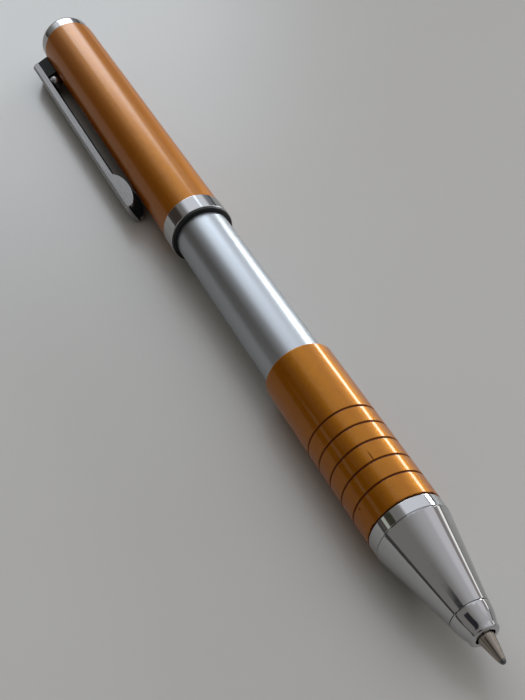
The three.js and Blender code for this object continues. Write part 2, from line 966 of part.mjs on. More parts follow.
// The share of the clip's length at which a station lies, counted from the clip's rear end.
function clipRearShare(station) {
  return (clipRear - station) / clipLength;
}

const finishes = {
  amberLacquer: { color: 0xb5701a, roughness: 0.25, metalness: 0.6 },
  satinSilver: { color: 0xb9bcc0, roughness: 0.35, metalness: 1 },
  chrome: { color: 0xd2d3d6, roughness: 0.08, metalness: 1 },
  brass: { color: 0xb8964a, roughness: 0.35, metalness: 1 },
  nickelSilver: { color: 0xa39c93, roughness: 0.3, metalness: 1 },
  steel: { color: 0x9fa2a6, roughness: 0.3, metalness: 1 },
  blackPlastic: { color: 0x161616, roughness: 0.5, metalness: 0 },
  whitePlastic: { color: 0xd8d6cf, roughness: 0.5, metalness: 0 },
  rubber: { color: 0x202020, roughness: 0.8, metalness: 0 },
  ink: { color: 0x101014, roughness: 0.3, metalness: 0 },
};

function piece(name, geometry, finish) {
  const mesh = new THREE.Mesh(geometry, new THREE.MeshStandardMaterial(finishes[finish]));
  mesh.name = name;
  return mesh;
}

function body(...pieces) {
  const group = new THREE.Group();
  group.add(...pieces);
  return group;
}

const pen = body(
  body(
    piece("grip", grip(), "amberLacquer"),
    piece("inner_tube", tube(tubeFront, tubeRear, tubeBore, tubeRadius, largeSides), "satinSilver"),
    piece(
      "thread_insert",
      tube(tubeFront, insertRear, threadRadius, tubeBore - fitGap, largeSides),
      "brass",
    ),
    piece("tail_collar", tailCollar(), "brass"),
    piece("friction_ring", frictionRing(), "rubber"),
    piece("guide_plug", guidePlug(), "whitePlastic"),
    piece("guide_tube", guideTube(), "brass"),
    piece("guide_cap", guideCap(), "whitePlastic"),
    piece("return_spring", returnSpring(), "steel"),
  ),
  body(piece("nose_cone", noseCone(), "chrome"), piece("nose_tip", noseTip(), "chrome")),
  body(piece("rotor", rotor(), "whitePlastic"), piece("drive_pin", drivePin(), "steel")),
  body(
    piece("refill_tube", refillTube(), "brass"),
    piece("refill_tip", refillTip(), "nickelSilver"),
    piece("tip_ball", tipBall(), "steel"),
    piece("ink_column", inkColumn(), "ink"),
    piece("refill_carrier", refillCarrier(), "whitePlastic"),
    piece("cam_pin", camPin(), "steel"),
  ),
  body(
    piece("rear_barrel", rearBarrel(), "amberLacquer"),
    piece(
      "barrel_ring",
      tube(barrelFront, ringRear, ringBore, ringRadius, largeSides, edgeChamfer / 2),
      "chrome",
    ),
    piece("slide_bush", slideBush(), "blackPlastic"),
    piece("spiral_sleeve", spiralSleeve(), "whitePlastic"),
    piece("end_plug", endPlug(), "blackPlastic"),
    piece("end_cap", endCap(), "chrome"),
    piece("clip_post", clipPost(), "satinSilver"),
    body(piece("clip", clipGeometry, "satinSilver")),
  ),
);

// The pen is rolled onto its clip, stood on the floor and centred over the origin.
pen.rotation.x = restRoll;
const lying = new THREE.Box3().setFromObject(pen, true);
const middle = lying.getCenter(new THREE.Vector3());
pen.position.set(-middle.x, -middle.y, -lying.min.z);

const part = new THREE.Group();
part.add(pen);

const round = (value) => Number(value.toFixed(4));
console.log("outer diameters", {
  grip: round(2 * gripRadius),
  barrel: round(2 * barrelRadius),
  ring: round(2 * ringRadius),
  tube: round(2 * tubeRadius),
});
console.log("length pulled out", round(capRear + tipProjection), "closed", round(capRear - travel));
console.log("axis position", pen.position.toArray().map(round), "roll", round(restRoll));
console.log("spring's least gap to itself", round(leastSpringGap()));

export default part;
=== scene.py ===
# %% [markdown]
# # A telescopic ballpoint pen
# The pen lies on a pale table, pulled out to its writing length, with its writing tip towards us.
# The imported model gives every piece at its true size, but its round pieces are faceted. This
# lesson turns the visible pieces again as smooth surfaces, finishes them, and lights them.

import json
import math

import bmesh
import bpy
import numpy as np
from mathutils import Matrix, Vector


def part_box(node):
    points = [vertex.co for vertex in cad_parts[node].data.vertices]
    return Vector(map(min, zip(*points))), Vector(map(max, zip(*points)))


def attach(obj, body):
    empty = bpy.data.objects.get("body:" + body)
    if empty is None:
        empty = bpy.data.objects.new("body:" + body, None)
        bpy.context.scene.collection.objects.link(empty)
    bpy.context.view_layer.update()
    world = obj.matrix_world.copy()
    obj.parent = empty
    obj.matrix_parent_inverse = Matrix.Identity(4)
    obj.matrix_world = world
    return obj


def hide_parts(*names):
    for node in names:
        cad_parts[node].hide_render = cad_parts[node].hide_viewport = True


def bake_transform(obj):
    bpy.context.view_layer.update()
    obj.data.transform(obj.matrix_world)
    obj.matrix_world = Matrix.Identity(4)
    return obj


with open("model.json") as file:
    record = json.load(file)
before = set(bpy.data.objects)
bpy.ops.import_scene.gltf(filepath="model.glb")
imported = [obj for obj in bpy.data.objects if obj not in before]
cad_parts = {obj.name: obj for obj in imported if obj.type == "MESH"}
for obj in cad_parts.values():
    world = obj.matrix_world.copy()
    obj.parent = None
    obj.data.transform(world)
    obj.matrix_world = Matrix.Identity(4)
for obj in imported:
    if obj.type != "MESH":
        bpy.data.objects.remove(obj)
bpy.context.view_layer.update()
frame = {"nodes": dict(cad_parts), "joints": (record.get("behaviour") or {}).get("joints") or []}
nodes = frame["nodes"]
print("nodes in the frame:", len(nodes))

# %% [markdown]
# ## Where the pen lies
# Everything round on the pen shares one axis, parallel to X. The tube's box gives that axis, and
# the box of each turned node gives its front face, its rear face and its outer radius. The clip's
# hinge gives the direction across the clip, and the direction out of the clip follows from it.

# %% The pen's axis and the clip's directions
MM = 0.001
tube_low, tube_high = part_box("inner_tube")
AXIS_Y = (tube_low.y + tube_high.y) / 2
AXIS_Z = (tube_low.z + tube_high.z) / 2
ALONG = Vector((1, 0, 0))
ACROSS = next(Vector(joint["axis"]) for joint in frame["joints"] if joint["name"] == "clip_flex")
OUTWARD = ACROSS.cross(ALONG)


def span(node):
    """Front x, rear x and outer radius of a turned node, in millimetres."""
    low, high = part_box(node)
    return high.x / MM, low.x / MM, (high.z - low.z) / 2 / MM


GRIP_FRONT, GRIP_REAR, GRIP_RADIUS = span("grip")
TUBE_FRONT, TUBE_REAR, TUBE_RADIUS = span("inner_tube")
BARREL_FRONT, BARREL_REAR, BARREL_RADIUS = span("rear_barrel")
print("axis at", round(AXIS_Y / MM, 3), round(AXIS_Z / MM, 3), "mm, clip points", OUTWARD)
print("grip, tube and barrel radii", GRIP_RADIUS, TUBE_RADIUS, BARREL_RADIUS)

# %% [markdown]
# ## Surfaces of revolution
# A lathe cuts a profile while the work turns, so each turned piece is a profile carried round the
# axis. A screw modifier could do it, but a grid of two parameters gives a UV map in millimetres.
# No real edge is sharp, so each corner has a fillet radius and becomes a short arc.

# %% Profiles with fillets
SIDES = 192
FILLET_STEPS = 6
EDGE_SHARE = 0.42
SUPPORT_REACH = 1.2
STRAIGHT = 1e-4


def fillet(before, corner, after, radius):
    """Points of the arc that rounds one corner.

    The arc touches both edges at radius / tan(half the corner's angle) from the corner, but takes
    no more than a share of either edge. Its points turn evenly about a centre on the bisector. A
    support point further out on each edge keeps flats flat under smooth shading.
    """
    before, corner, after = (np.array(point[:2], float) for point in (before, corner, after))
    to_before, to_after = before - corner, after - corner
    length_before, length_after = np.linalg.norm(to_before), np.linalg.norm(to_after)
    to_before, to_after = to_before / length_before, to_after / length_after
    half = math.acos(np.clip(to_before @ to_after, -1, 1)) / 2
    if radius <= 0 or abs(half - math.pi / 2) < STRAIGHT:
        return corner[None, :]
    reach = min(radius / math.tan(half), EDGE_SHARE * length_before, EDGE_SHARE * length_after)
    bisector = (to_before + to_after) / np.linalg.norm(to_before + to_after)
    centre = corner + bisector * reach / math.cos(half)
    start = corner + to_before * reach - centre
    end = corner + to_after * reach - centre
    sweep = math.pi - 2 * half
    share = np.linspace(0, 1, FILLET_STEPS + 1)[:, None]
    arc = np.sin((1 - share) * sweep) * start + np.sin(share * sweep) * end
    arc = centre + arc / math.sin(sweep)
    support_before = corner + to_before * reach * SUPPORT_REACH
    support_after = corner + to_after * reach * SUPPORT_REACH
    return np.vstack([support_before, arc, support_after])


def profile(corners, closed=True):
    """A profile from corners (x, radius, fillet), closed or with its ends on the axis."""
    looped = [corners[-1], *corners, corners[0]] if closed else corners
    neighbours = zip(looped, looped[1:], looped[2:])
    rows = [fillet(before, corner, after, corner[2]) for before, corner, after in neighbours]
    if not closed:
        rows = [[corners[0][:2]], *rows, [corners[-1][:2]]]
    return np.vstack(rows)


def pipe_profile(front, rear, outer, inner, outer_fillet, inner_fillet):
    """The wall of a plain tube or ring."""
    front_face = [(front, inner, inner_fillet), (front, outer, outer_fillet)]
    rear_face = [(rear, outer, outer_fillet), (rear, inner, inner_fillet)]
    return profile(front_face + rear_face)


print("a 90 degree corner becomes", len(fillet((0, 1), (0, 0), (1, 0), 0.1)), "points")

# %% Turning a profile into a mesh
SMOOTH_ANGLE = 35
MERGE_METRES = 1e-8


def grid_faces(rows, columns):
    """Four corner indices of every cell of a rows by columns grid of points."""
    corner = np.arange((rows - 1) * columns).reshape(rows - 1, columns)[:, :-1].ravel()
    return np.stack([corner, corner + 1, corner + columns + 1, corner + columns], axis=1)


def surface_mesh(name, points, faces, uv):
    """A mesh from whole arrays, with one UV map."""
    mesh = bpy.data.meshes.new(name)
    mesh.from_pydata(points.tolist(), [], faces.tolist())
    layer = mesh.uv_layers.new(name="surface")
    layer.data.foreach_set("uv", uv[faces.ravel()].astype(np.float32).ravel())
    return mesh


def close_mesh(mesh):
    """Merges the doubles of a closed mesh and turns its faces outwards."""
    work = bmesh.new()
    work.from_mesh(mesh)
    bmesh.ops.remove_doubles(work, verts=work.verts, dist=MERGE_METRES)
    bmesh.ops.recalc_face_normals(work, faces=work.faces)
    work.to_mesh(mesh)
    work.free()


def smooth_object(mesh):
    """An object in the scene that shows the mesh, smooth except across its real edges."""
    mesh.polygons.foreach_set("use_smooth", np.ones(len(mesh.polygons), bool))
    mesh.set_sharp_from_angle(angle=math.radians(SMOOTH_ANGLE))
    piece = bpy.data.objects.new(mesh.name, mesh)
    bpy.context.scene.collection.objects.link(piece)
    return piece


def mesh_piece(name, points, faces, uv):
    """A closed mesh object from whole arrays."""
    mesh = surface_mesh(name, points, faces, uv)
    close_mesh(mesh)
    return smooth_object(mesh)


def round_axis(x, radius, angle):
    """Points in metres at a place along the axis, a radius and an angle from +Y towards +Z."""
    across, up = radius * np.cos(angle), radius * np.sin(angle)
    return np.stack([x * MM, AXIS_Y + across * MM, AXIS_Z + up * MM], axis=-1).reshape(-1, 3)


def turned(name, outline, closed=True, sides=SIDES, relief=None):
    """A surface of revolution about the pen's axis.

    Row i and column j give (x_i, axis + r_ij cos a_j, axis + r_ij sin a_j), where a_j goes once
    round from straight below the axis. r_ij is the profile's radius plus the relief at x, the
    radius and the share of the turn. The UV map holds millimetres: round the largest radius and
    along the profile.
    """
    outline = np.vstack([outline, outline[:1]]) if closed else outline
    turn = np.linspace(0, 1, sides + 1)[None, :]
    angle = (2 * turn - 0.5) * math.pi
    x = np.repeat(outline[:, :1], sides + 1, axis=1)
    radius = np.repeat(outline[:, 1:], sides + 1, axis=1)
    if relief is not None:
        radius = radius + relief(x, radius, turn)
    points = round_axis(x, radius, angle)
    way = np.concatenate([[0], np.cumsum(np.hypot(*np.diff(outline, axis=0).T))])
    around = 2 * math.pi * turn[0] * outline[:, 1].max()
    uv = np.stack(np.meshgrid(around, way), axis=-1).reshape(-1, 2)
    return mesh_piece(name, points, grid_faces(len(outline), sides + 1), uv)


def dress(piece, body, node, material):
    """The piece takes its finish, rides on its body and hides its CAD node."""
    piece.data.materials.clear()
    piece.data.materials.append(material)
    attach(piece, body)
    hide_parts(node)
    print(f"{piece.name}: {len(piece.data.polygons)} faces, stands for {node}")


# %% [markdown]
# ## Colours and nodes
# Colours are written as sRGB hex values, as a colour picker shows them, and one function turns
# them to the linear values that a shader works with. One more function adds a node with its
# settings and its links, so each finish below reads as a short list that ends in its shader.

# %% Colour and node helpers
def linear(colour):
    """An sRGB hex value such as "a27203" as linear red, green, blue and alpha."""
    channels = np.array([int(colour[i : i + 2], 16) for i in (0, 2, 4)]) / 255
    bent = ((channels + 0.055) / 1.055) ** 2.4
    return (*np.where(channels <= 0.04045, channels / 12.92, bent).tolist(), 1.0)


def add_node(tree, kind, inputs=None, **settings):
    """Adds one node. Its settings are its own properties, and an input is a value or a link."""
    node = tree.nodes.new(kind)
    for name, value in settings.items():
        setattr(node, name, value)
    for name, value in (inputs or {}).items():
        if isinstance(value, bpy.types.Node):
            value = value.outputs[0]
        if isinstance(value, bpy.types.NodeSocket):
            tree.links.new(value, node.inputs[name])
        else:
            node.inputs[name].default_value = value
    return node


def empty_finish(name):
    """A new material and its node tree, with nothing in the tree yet."""
    material = bpy.data.materials.new(name)
    material.use_nodes = True
    material.node_tree.nodes.clear()
    return material, material.node_tree


def close_finish(material, sockets):
    """Ends a finish with its shader. A constant sits on its own socket, a pattern is linked."""
    tree = material.node_tree
    shader = add_node(tree, "ShaderNodeBsdfPrincipled", sockets)
    add_node(tree, "ShaderNodeOutputMaterial", {"Surface": shader})
    print(f"{material.name}: {len(tree.nodes)} nodes")
    return material


def object_place(tree, scale=(1, 1, 1)):
    """The object's own coordinates in millimetres, times a scale that draws a pattern out."""
    place = add_node(tree, "ShaderNodeTexCoord").outputs["Object"]
    per_metre = tuple(value / MM for value in scale)
    return add_node(tree, "ShaderNodeMapping", {"Vector": place, "Scale": per_metre})


print("middle grey as linear:", round(linear("808080")[0], 3))

# %% [markdown]
# ## Amber lacquer
# The grip and the barrel are brass, sprayed with a metallic base coat and a clear top coat. The
# base coat holds aluminium flakes in amber pigment, so it mirrors the room softly in amber. Between
# the flakes the pigment scatters a little light, redder than the flakes, which shows where they
# mirror something dark. Sheen stands for that haze. The top coat is tinted a little and adds the
# white lines of the window. The flakes are 0.02 to 0.04 mm across. They are drawn 0.11 mm across,
# the width of a pixel here, and each cell leans its own way. On the grip, painted shade darkens the
# groove floors, while wear has chipped the front edge and left a short scratch.

# %% Lacquer on the grip and the barrel
METAL_SHARE = 0.92
COAT_IOR = 1.4
COAT_TINT = "ffeccc"
HAZE_SHARE = 0.15
BARREL_ROUGHNESS = (0.48, 0.14)
BARREL_GLOSS = 0.8
FLAKE_SIZE = 0.11
FLAKE_LEAN = 0.06
PEEL_SIZE = 0.8
PEEL_HEIGHT = 0.0006
MOTTLE_SIZE = 0.9
AMBER_LIGHT = "a27203"
AMBER_DEEP = "956202"
PIGMENT_HAZE = "ff5208"


def lacquer_patterns(tree):
    """Place in millimetres, mottled amber, the leaning flakes' normal and the top coat's normal."""
    place = object_place(tree)
    flakes = add_node(tree, "ShaderNodeTexVoronoi", {"Vector": place, "Scale": 1 / FLAKE_SIZE})
    lean = {0: flakes.outputs["Color"], 1: (0.5, 0.5, 0.5)}
    lean = add_node(tree, "ShaderNodeVectorMath", lean, operation="SUBTRACT")
    surface = add_node(tree, "ShaderNodeNewGeometry").outputs["Normal"]
    leaning = {0: lean, 1: (FLAKE_LEAN,) * 3, 2: surface}
    leaning = add_node(tree, "ShaderNodeVectorMath", leaning, operation="MULTIPLY_ADD")
    flake_normal = add_node(tree, "ShaderNodeVectorMath", {0: leaning}, operation="NORMALIZE")
    peel = {"Vector": place, "Scale": 1 / PEEL_SIZE, "Detail": 1.0}
    peel = add_node(tree, "ShaderNodeTexNoise", peel)
    coat_normal = add_node(tree, "ShaderNodeBump", {"Height": peel, "Distance": PEEL_HEIGHT * MM})
    mottle = {"Vector": place, "Scale": 1 / MOTTLE_SIZE, "Detail": 4.0}
    mottle = add_node(tree, "ShaderNodeTexNoise", mottle)
    shades = {0: mottle, 6: linear(AMBER_LIGHT), 7: linear(AMBER_DEEP)}
    amber = add_node(tree, "ShaderNodeMix", shades, data_type="RGBA").outputs[2]
    return place, amber, flake_normal, coat_normal


def lacquer_sockets(colour, flake_normal, coat_normal, roughness, gloss):
    """The shader's sockets of both lacquers. Roughness is the flakes' and the top coat's."""
    return {
        "Base Color": colour,
        "Metallic": METAL_SHARE,
        "Roughness": roughness[0],
        "Specular IOR Level": 0.0,
        "Sheen Weight": HAZE_SHARE,
        "Sheen Roughness": 1.0,
        "Sheen Tint": linear(PIGMENT_HAZE),
        "Normal": flake_normal,
        "Coat Weight": gloss,
        "Coat Roughness": roughness[1],
        "Coat IOR": COAT_IOR,
        "Coat Tint": linear(COAT_TINT),
        "Coat Normal": coat_normal,
    }


def barrel_lacquer_finish():
    """Amber lacquer on the barrel, rubbed a little duller by hands."""
    material, tree = empty_finish("amber_lacquer_on_barrel")
    amber, flake_normal, coat_normal = lacquer_patterns(tree)[1:]
    sockets = lacquer_sockets(amber, flake_normal, coat_normal, BARREL_ROUGHNESS, BARREL_GLOSS)
    return close_finish(material, sockets)


barrel_lacquer = barrel_lacquer_finish()

# %% Worn lacquer with painted groove shade on the grip
GRIP_ROUGHNESS = (0.4, 0.08)
CHIP_REACH = 0.22
CHIP_SIZE = 0.4
CHIP_RISK = (-0.08, 0.24)
CHIP_LIMITS = (0.72, 0.76)
CHIPPED = "3a2010"
# painted shade in the groove floors: its colour, the depth it starts from and its strength
GROOVE_SHADE_COLOUR = "3a1c08"
GROOVE_SHADE_DEPTH = 0.05
GROOVE_SHADE_COVER = 0.85
SCRATCH = ((35.1, 0.381, 7.821), (1.3, 15.0, 4.0))
DARK_NICK = ((38.42, -2.53, 5.453), (8.0, 8.0, 8.0))
# a paler band at the grip's rear edge: its width, strength and colour
PALE_RIM_WIDTH = 0.14
PALE_RIM_COVER = 0.7
PALE_RIM_COLOUR = "d8a468"
GRIP_GLOSS = 0.75


def mark(tree, place, centre, shrink):
    """1 in a small mark, 0 outside: the distance from its centre after a stretch of each axis."""
    away = add_node(tree, "ShaderNodeVectorMath", {0: place, 1: centre}, operation="SUBTRACT")
    away = add_node(tree, "ShaderNodeVectorMath", {0: away, 1: shrink}, operation="MULTIPLY")
    away = add_node(tree, "ShaderNodeVectorMath", {0: away}, operation="LENGTH").outputs["Value"]
    return add_node(tree, "ShaderNodeMapRange", {"Value": away, "From Min": 1.0, "From Max": 0.6})


def grip_lacquer_finish():
    """Amber lacquer with painted shade on the groove floors, chips at the front edge and a paler
    rim.
    """
    material, tree = empty_finish("amber_lacquer_on_grip")
    place, amber, flake_normal, coat_normal = lacquer_patterns(tree)
    centred = {0: place, 1: (0, AXIS_Y / MM, AXIS_Z / MM)}
    centred = add_node(tree, "ShaderNodeVectorMath", centred, operation="SUBTRACT")
    section = {0: centred, 1: (0, 1, 1)}
    section = add_node(tree, "ShaderNodeVectorMath", section, operation="MULTIPLY")
    radius = add_node(tree, "ShaderNodeVectorMath", {0: section}, operation="LENGTH")
    radius = radius.outputs["Value"]
    # painted shade: the deeper a point lies in a groove, the darker brown it turns
    depth = {"Value": radius, "From Min": GRIP_RADIUS - 2 * GROOVE_SHADE_DEPTH}
    depth |= {"From Max": GRIP_RADIUS - GROOVE_SHADE_DEPTH / 2, "To Min": GROOVE_SHADE_COVER, "To Max": 0.0}
    groove_shade = add_node(tree, "ShaderNodeMapRange", depth, interpolation_type="SMOOTHSTEP")
    along = add_node(tree, "ShaderNodeSeparateXYZ", {"Vector": place}).outputs["X"]
    edge = {"Value": along, "From Min": GRIP_FRONT - CHIP_REACH, "From Max": GRIP_FRONT}
    edge |= {"To Min": CHIP_RISK[0], "To Max": CHIP_RISK[1]}
    edge = add_node(tree, "ShaderNodeMapRange", edge)
    spots = {"Vector": place, "Scale": 1 / CHIP_SIZE, "Detail": 3.0}
    spots = add_node(tree, "ShaderNodeTexNoise", spots)
    risk = add_node(tree, "ShaderNodeMath", {0: spots, 1: edge}, operation="ADD")
    chipped = {"Value": risk, "From Min": CHIP_LIMITS[0], "From Max": CHIP_LIMITS[1]}
    chipped = add_node(tree, "ShaderNodeMapRange", chipped)
    for centre, shrink in (SCRATCH, DARK_NICK):
        marked = {0: chipped, 1: mark(tree, place, centre, shrink)}
        chipped = add_node(tree, "ShaderNodeMath", marked, operation="MAXIMUM")
    # the grip turns paler over the last part of its rear edge
    rim = {"Value": along, "From Min": GRIP_REAR + PALE_RIM_WIDTH, "From Max": GRIP_REAR}
    rim = add_node(tree, "ShaderNodeMapRange", rim | {"To Max": PALE_RIM_COVER})
    shaded_and_worn = amber
    # painted shade in the grooves, the paler rear rim and the worn chips, laid over the amber in
    # turn
    for cover, colour in ((groove_shade, GROOVE_SHADE_COLOUR), (rim, PALE_RIM_COLOUR), (chipped, CHIPPED)):
        layer = {0: cover, 6: shaded_and_worn, 7: linear(colour)}
        shaded_and_worn = add_node(tree, "ShaderNodeMix", layer, data_type="RGBA").outputs[2]
    gloss = {"Value": chipped, "To Min": GRIP_GLOSS, "To Max": 0.0}
    gloss = add_node(tree, "ShaderNodeMapRange", gloss)
    sockets = lacquer_sockets(shaded_and_worn, flake_normal, coat_normal, GRIP_ROUGHNESS, gloss)
    return close_finish(material, sockets)


grip_lacquer = grip_lacquer_finish()

# %% [markdown]
# ## Plated and bare metals
# The nose, the mouth ring and the rear cap are brass with bright nickel and chrome over it, almost
# a mirror. The tube is aluminium, etched and anodised, so it mirrors the room only as soft bands.
# The clip is pressed steel with a satin plating, brushed along its length. The refill's tip is
# nickel silver straight from the lathe, with fine rings left by the tool.

# %% Chrome
CHROME = "c0c1c3"
CHROME_WAVES_PER_MM = 0.7
CHROME_WAVE_HEIGHT = 0.0012
HAIRLINE_STRETCH = (0.6, 3, 3)
HAIRLINES = {"From Min": 0.4, "From Max": 0.75, "To Min": 0.045, "To Max": 0.12}


def chrome_plate():
    """Bright plating: a mirror with faint waves of the polished brass and hairline scratches."""
    material, tree = empty_finish("bright_chrome_plate")
    waves = {"Vector": object_place(tree), "Scale": CHROME_WAVES_PER_MM, "Detail": 2.0}
    waves = add_node(tree, "ShaderNodeTexNoise", waves)
    wavy = add_node(tree, "ShaderNodeBump", {"Height": waves, "Distance": CHROME_WAVE_HEIGHT * MM})
    marks = {"Vector": object_place(tree, HAIRLINE_STRETCH), "Scale": 3.0, "Detail": 6.0}
    marks = add_node(tree, "ShaderNodeTexNoise", marks)
    roughness = add_node(tree, "ShaderNodeMapRange", {"Value": marks} | HAIRLINES)
    sockets = {"Base Color": linear(CHROME), "Metallic": 1.0}
    return close_finish(material, sockets | {"Roughness": roughness, "Normal": wavy})


chrome = chrome_plate()

# %% Satin aluminium and clip steel
ALUMINIUM = "b1b6bb"
GRAIN_SIZE = 0.125
GRAIN_HEIGHT = 0.0012
CLIP_STEEL = ("aeb0b3", "bdbec0")
BRUSH_STRETCH = (0.15, 6, 6)
BRUSH_HEIGHT = 0.001
NOISE_RANGE = {"From Min": 0.3, "From Max": 0.7}


def led_by(tree, pattern, tones, roughness, height, pattern_range=NOISE_RANGE):
    """Sockets that follow one pattern: two close tones, a roughness range and a bump in mm."""
    tones = {0: pattern, 6: linear(tones[0]), 7: linear(tones[1])}
    tones = add_node(tree, "ShaderNodeMix", tones, data_type="RGBA").outputs[2]
    rough = {"Value": pattern, "To Min": roughness[0], "To Max": roughness[1]}
    rough = add_node(tree, "ShaderNodeMapRange", pattern_range | rough)
    bump = add_node(tree, "ShaderNodeBump", {"Height": pattern, "Distance": height * MM})
    return {"Base Color": tones, "Roughness": rough, "Normal": bump}


def satin_aluminium():
    """Etched and anodised aluminium: a grain drawn coarser than the real 0.03 mm etch."""
    material, tree = empty_finish("satin_anodised_aluminium")
    grain = {"Vector": object_place(tree), "Scale": 1 / GRAIN_SIZE, "Detail": 2.0}
    grain = add_node(tree, "ShaderNodeTexNoise", grain)
    etched = add_node(tree, "ShaderNodeBump", {"Height": grain, "Distance": GRAIN_HEIGHT * MM})
    roughness = NOISE_RANGE | {"Value": grain, "To Min": 0.32, "To Max": 0.36}
    roughness = add_node(tree, "ShaderNodeMapRange", roughness)
    sockets = {"Base Color": linear(ALUMINIUM), "Metallic": 1.0}
    return close_finish(material, sockets | {"Roughness": roughness, "Normal": etched})


def clip_steel_finish():
    """Satin plated steel, brushed along X: lines 0.08 mm apart and several millimetres long."""
    material, tree = empty_finish("satin_plated_steel")
    lines = {"Vector": object_place(tree, BRUSH_STRETCH), "Scale": 2.0, "Detail": 3.0}
    lines = add_node(tree, "ShaderNodeTexNoise", lines)
    sockets = led_by(tree, lines, CLIP_STEEL, (0.24, 0.34), BRUSH_HEIGHT)
    return close_finish(material, sockets | {"Metallic": 1.0})


satin_tube_finish = satin_aluminium()
clip_finish = clip_steel_finish()

# %% Turned metals
WAVE_PERIOD = 0.314  # of the wave texture at scale 1, which is 2 pi / 20
RING_HEIGHT = 0.0005
RING_SPREAD = 0.08


def turned_metal(name, light, dark, pitch, roughness):
    """Bare turned metal: tool rings at a pitch in millimetres along X."""
    material, tree = empty_finish(name)
    rings = {"Vector": object_place(tree), "Scale": WAVE_PERIOD / pitch}
    rings |= {"Distortion": 0.6, "Detail": 2.0}
    rings = add_node(tree, "ShaderNodeTexWave", rings, bands_direction="X").outputs["Fac"]
    spread = (roughness, roughness + RING_SPREAD)
    sockets = led_by(tree, rings, (light, dark), spread, RING_HEIGHT, {})
    return close_finish(material, sockets | {"Metallic": 1.0})


nickel_silver = turned_metal("turned_nickel_silver", "a8a097", "9c948b", 0.08, 0.1)
bare_brass = turned_metal("turned_brass", "c9a455", "b08c40", 0.2, 0.26)
ball_steel = turned_metal("ground_steel", "77787c", "606166", 0.1, 0.16)
# painted shade: the clip's inner faces are near black steel, for the deep shade inside its channel
clip_inside_shade_steel = turned_metal("dark_steel_inside_fold_in_painted_shade", "242220", "1a1917", 0.4, 0.5)
spring_steel = turned_metal("drawn_spring_steel", "a6a8ab", "8f9195", 0.3, 0.22)

# %% [markdown]
# ## Plastics, rubber and ink
# The slide bush and the end plug are black nylon, the clip's block is matt and near black as
# painted shade, the cam pieces are natural acetal, the friction ring is nitrile rubber and the ink
# is a thick oil.
# Only the bush's rim and the block show on the whole pen, but the pen can be opened.

# %% Moulded and soft finishes
MOULD_GRAIN_HEIGHT = 0.004
MOULD_SPREAD = 0.1


def moulded(name, light, dark, roughness, grain, constants):
    """Moulded plastic or rubber: a fine grain whose size is in millimetres."""
    material, tree = empty_finish(name)
    texture = {"Vector": object_place(tree), "Scale": 1 / grain, "Detail": 3.0}
    texture = add_node(tree, "ShaderNodeTexNoise", texture)
    spread = (roughness, roughness + MOULD_SPREAD)
    sockets = led_by(tree, texture, (light, dark), spread, MOULD_GRAIN_HEIGHT)
    return close_finish(material, constants | sockets)


# painted shade: the clip's block is near black, for the deep shade between the clip and the barrel
post_shade_black = moulded("black_post_in_painted_shade", "0d0d0c", "080808", 0.6, 0.15, {"IOR": 1.35})
black_nylon = moulded("moulded_black_nylon", "1b1c1d", "101112", 0.38, 0.15, {"IOR": 1.53})
milky = {"IOR": 1.48, "Subsurface Weight": 0.1}
acetal = moulded("moulded_natural_acetal", "dedbd2", "d2cfc5", 0.42, 0.2, milky)
nitrile = moulded("moulded_nitrile_rubber", "222222", "161616", 0.62, 0.1, {"IOR": 1.52})
oil_ink = moulded("thick_oil_ink", "0a0a0e", "14141c", 0.08, 0.5, {"IOR": 1.48})

# %% [markdown]
# ## The grip
# The grip is a brass sleeve with five narrow grooves turned near its front edge, lacquered after
# turning, so every lip is rounded by paint. The profile goes round the sleeve's wall once: along
# the outside with a dip for each groove, and back along the bore.

# %% Grip sleeve
GRIP_EDGE = 0.12
GROOVE_COUNT = 5
GROOVE_START = 2.72
GROOVE_PITCH = 2.24
GROOVE_WIDTH = 0.26
GROOVE_DEPTH = 0.13
GROOVE_LIP = 0.06
TUBE_FIT = 0.02


def grip_profile():
    """The grip's wall: lips and floors of the grooves on the outside, then the plain bore."""
    bore = TUBE_RADIUS + TUBE_FIT
    corners = [(GRIP_FRONT, bore, 0.05), (GRIP_FRONT, GRIP_RADIUS, GRIP_EDGE)]
    for groove in range(GROOVE_COUNT):
        middle = GRIP_FRONT - GROOVE_START - groove * GROOVE_PITCH
        corners += [
            (middle + GROOVE_WIDTH / 2, GRIP_RADIUS, GROOVE_LIP),
            (middle + GROOVE_WIDTH / 4, GRIP_RADIUS - GROOVE_DEPTH, GROOVE_LIP / 2),
            (middle - GROOVE_WIDTH / 4, GRIP_RADIUS - GROOVE_DEPTH, GROOVE_LIP / 2),
            (middle - GROOVE_WIDTH / 2, GRIP_RADIUS, GROOVE_LIP),
        ]
    corners += [(GRIP_REAR, GRIP_RADIUS, GRIP_EDGE), (GRIP_REAR, bore, 0.05)]
    return profile(corners)


dress(turned("grip_sleeve", grip_profile()), "front", "grip", grip_lacquer)

# %% [markdown]
# ## The sliding tube
# A plain thin tube. A cylinder with Solidify could do it, but turning also rounds its ends.

# %% Sliding tube
TUBE_WALL = 0.25
tube_wall = pipe_profile(TUBE_FRONT, TUBE_REAR, TUBE_RADIUS, TUBE_RADIUS - TUBE_WALL, 0.08, 0.04)
tube = turned("sliding_tube", tube_wall)
dress(tube, "front", "inner_tube", satin_tube_finish)

# %% [markdown]
# ## The nose
# The nose is two chromed turnings. The cone has a straight band that meets the grip, a fine edge
# where the taper starts, and behind the band a threaded spigot that hides in the tube. The tip is a
# small bullet with a rounded mouth, and a fine seam shows where it meets the cone. The thread is a
# helix: its radius depends on the place along the spigot minus the share of a turn, so the surface
# stays one function of two parameters.

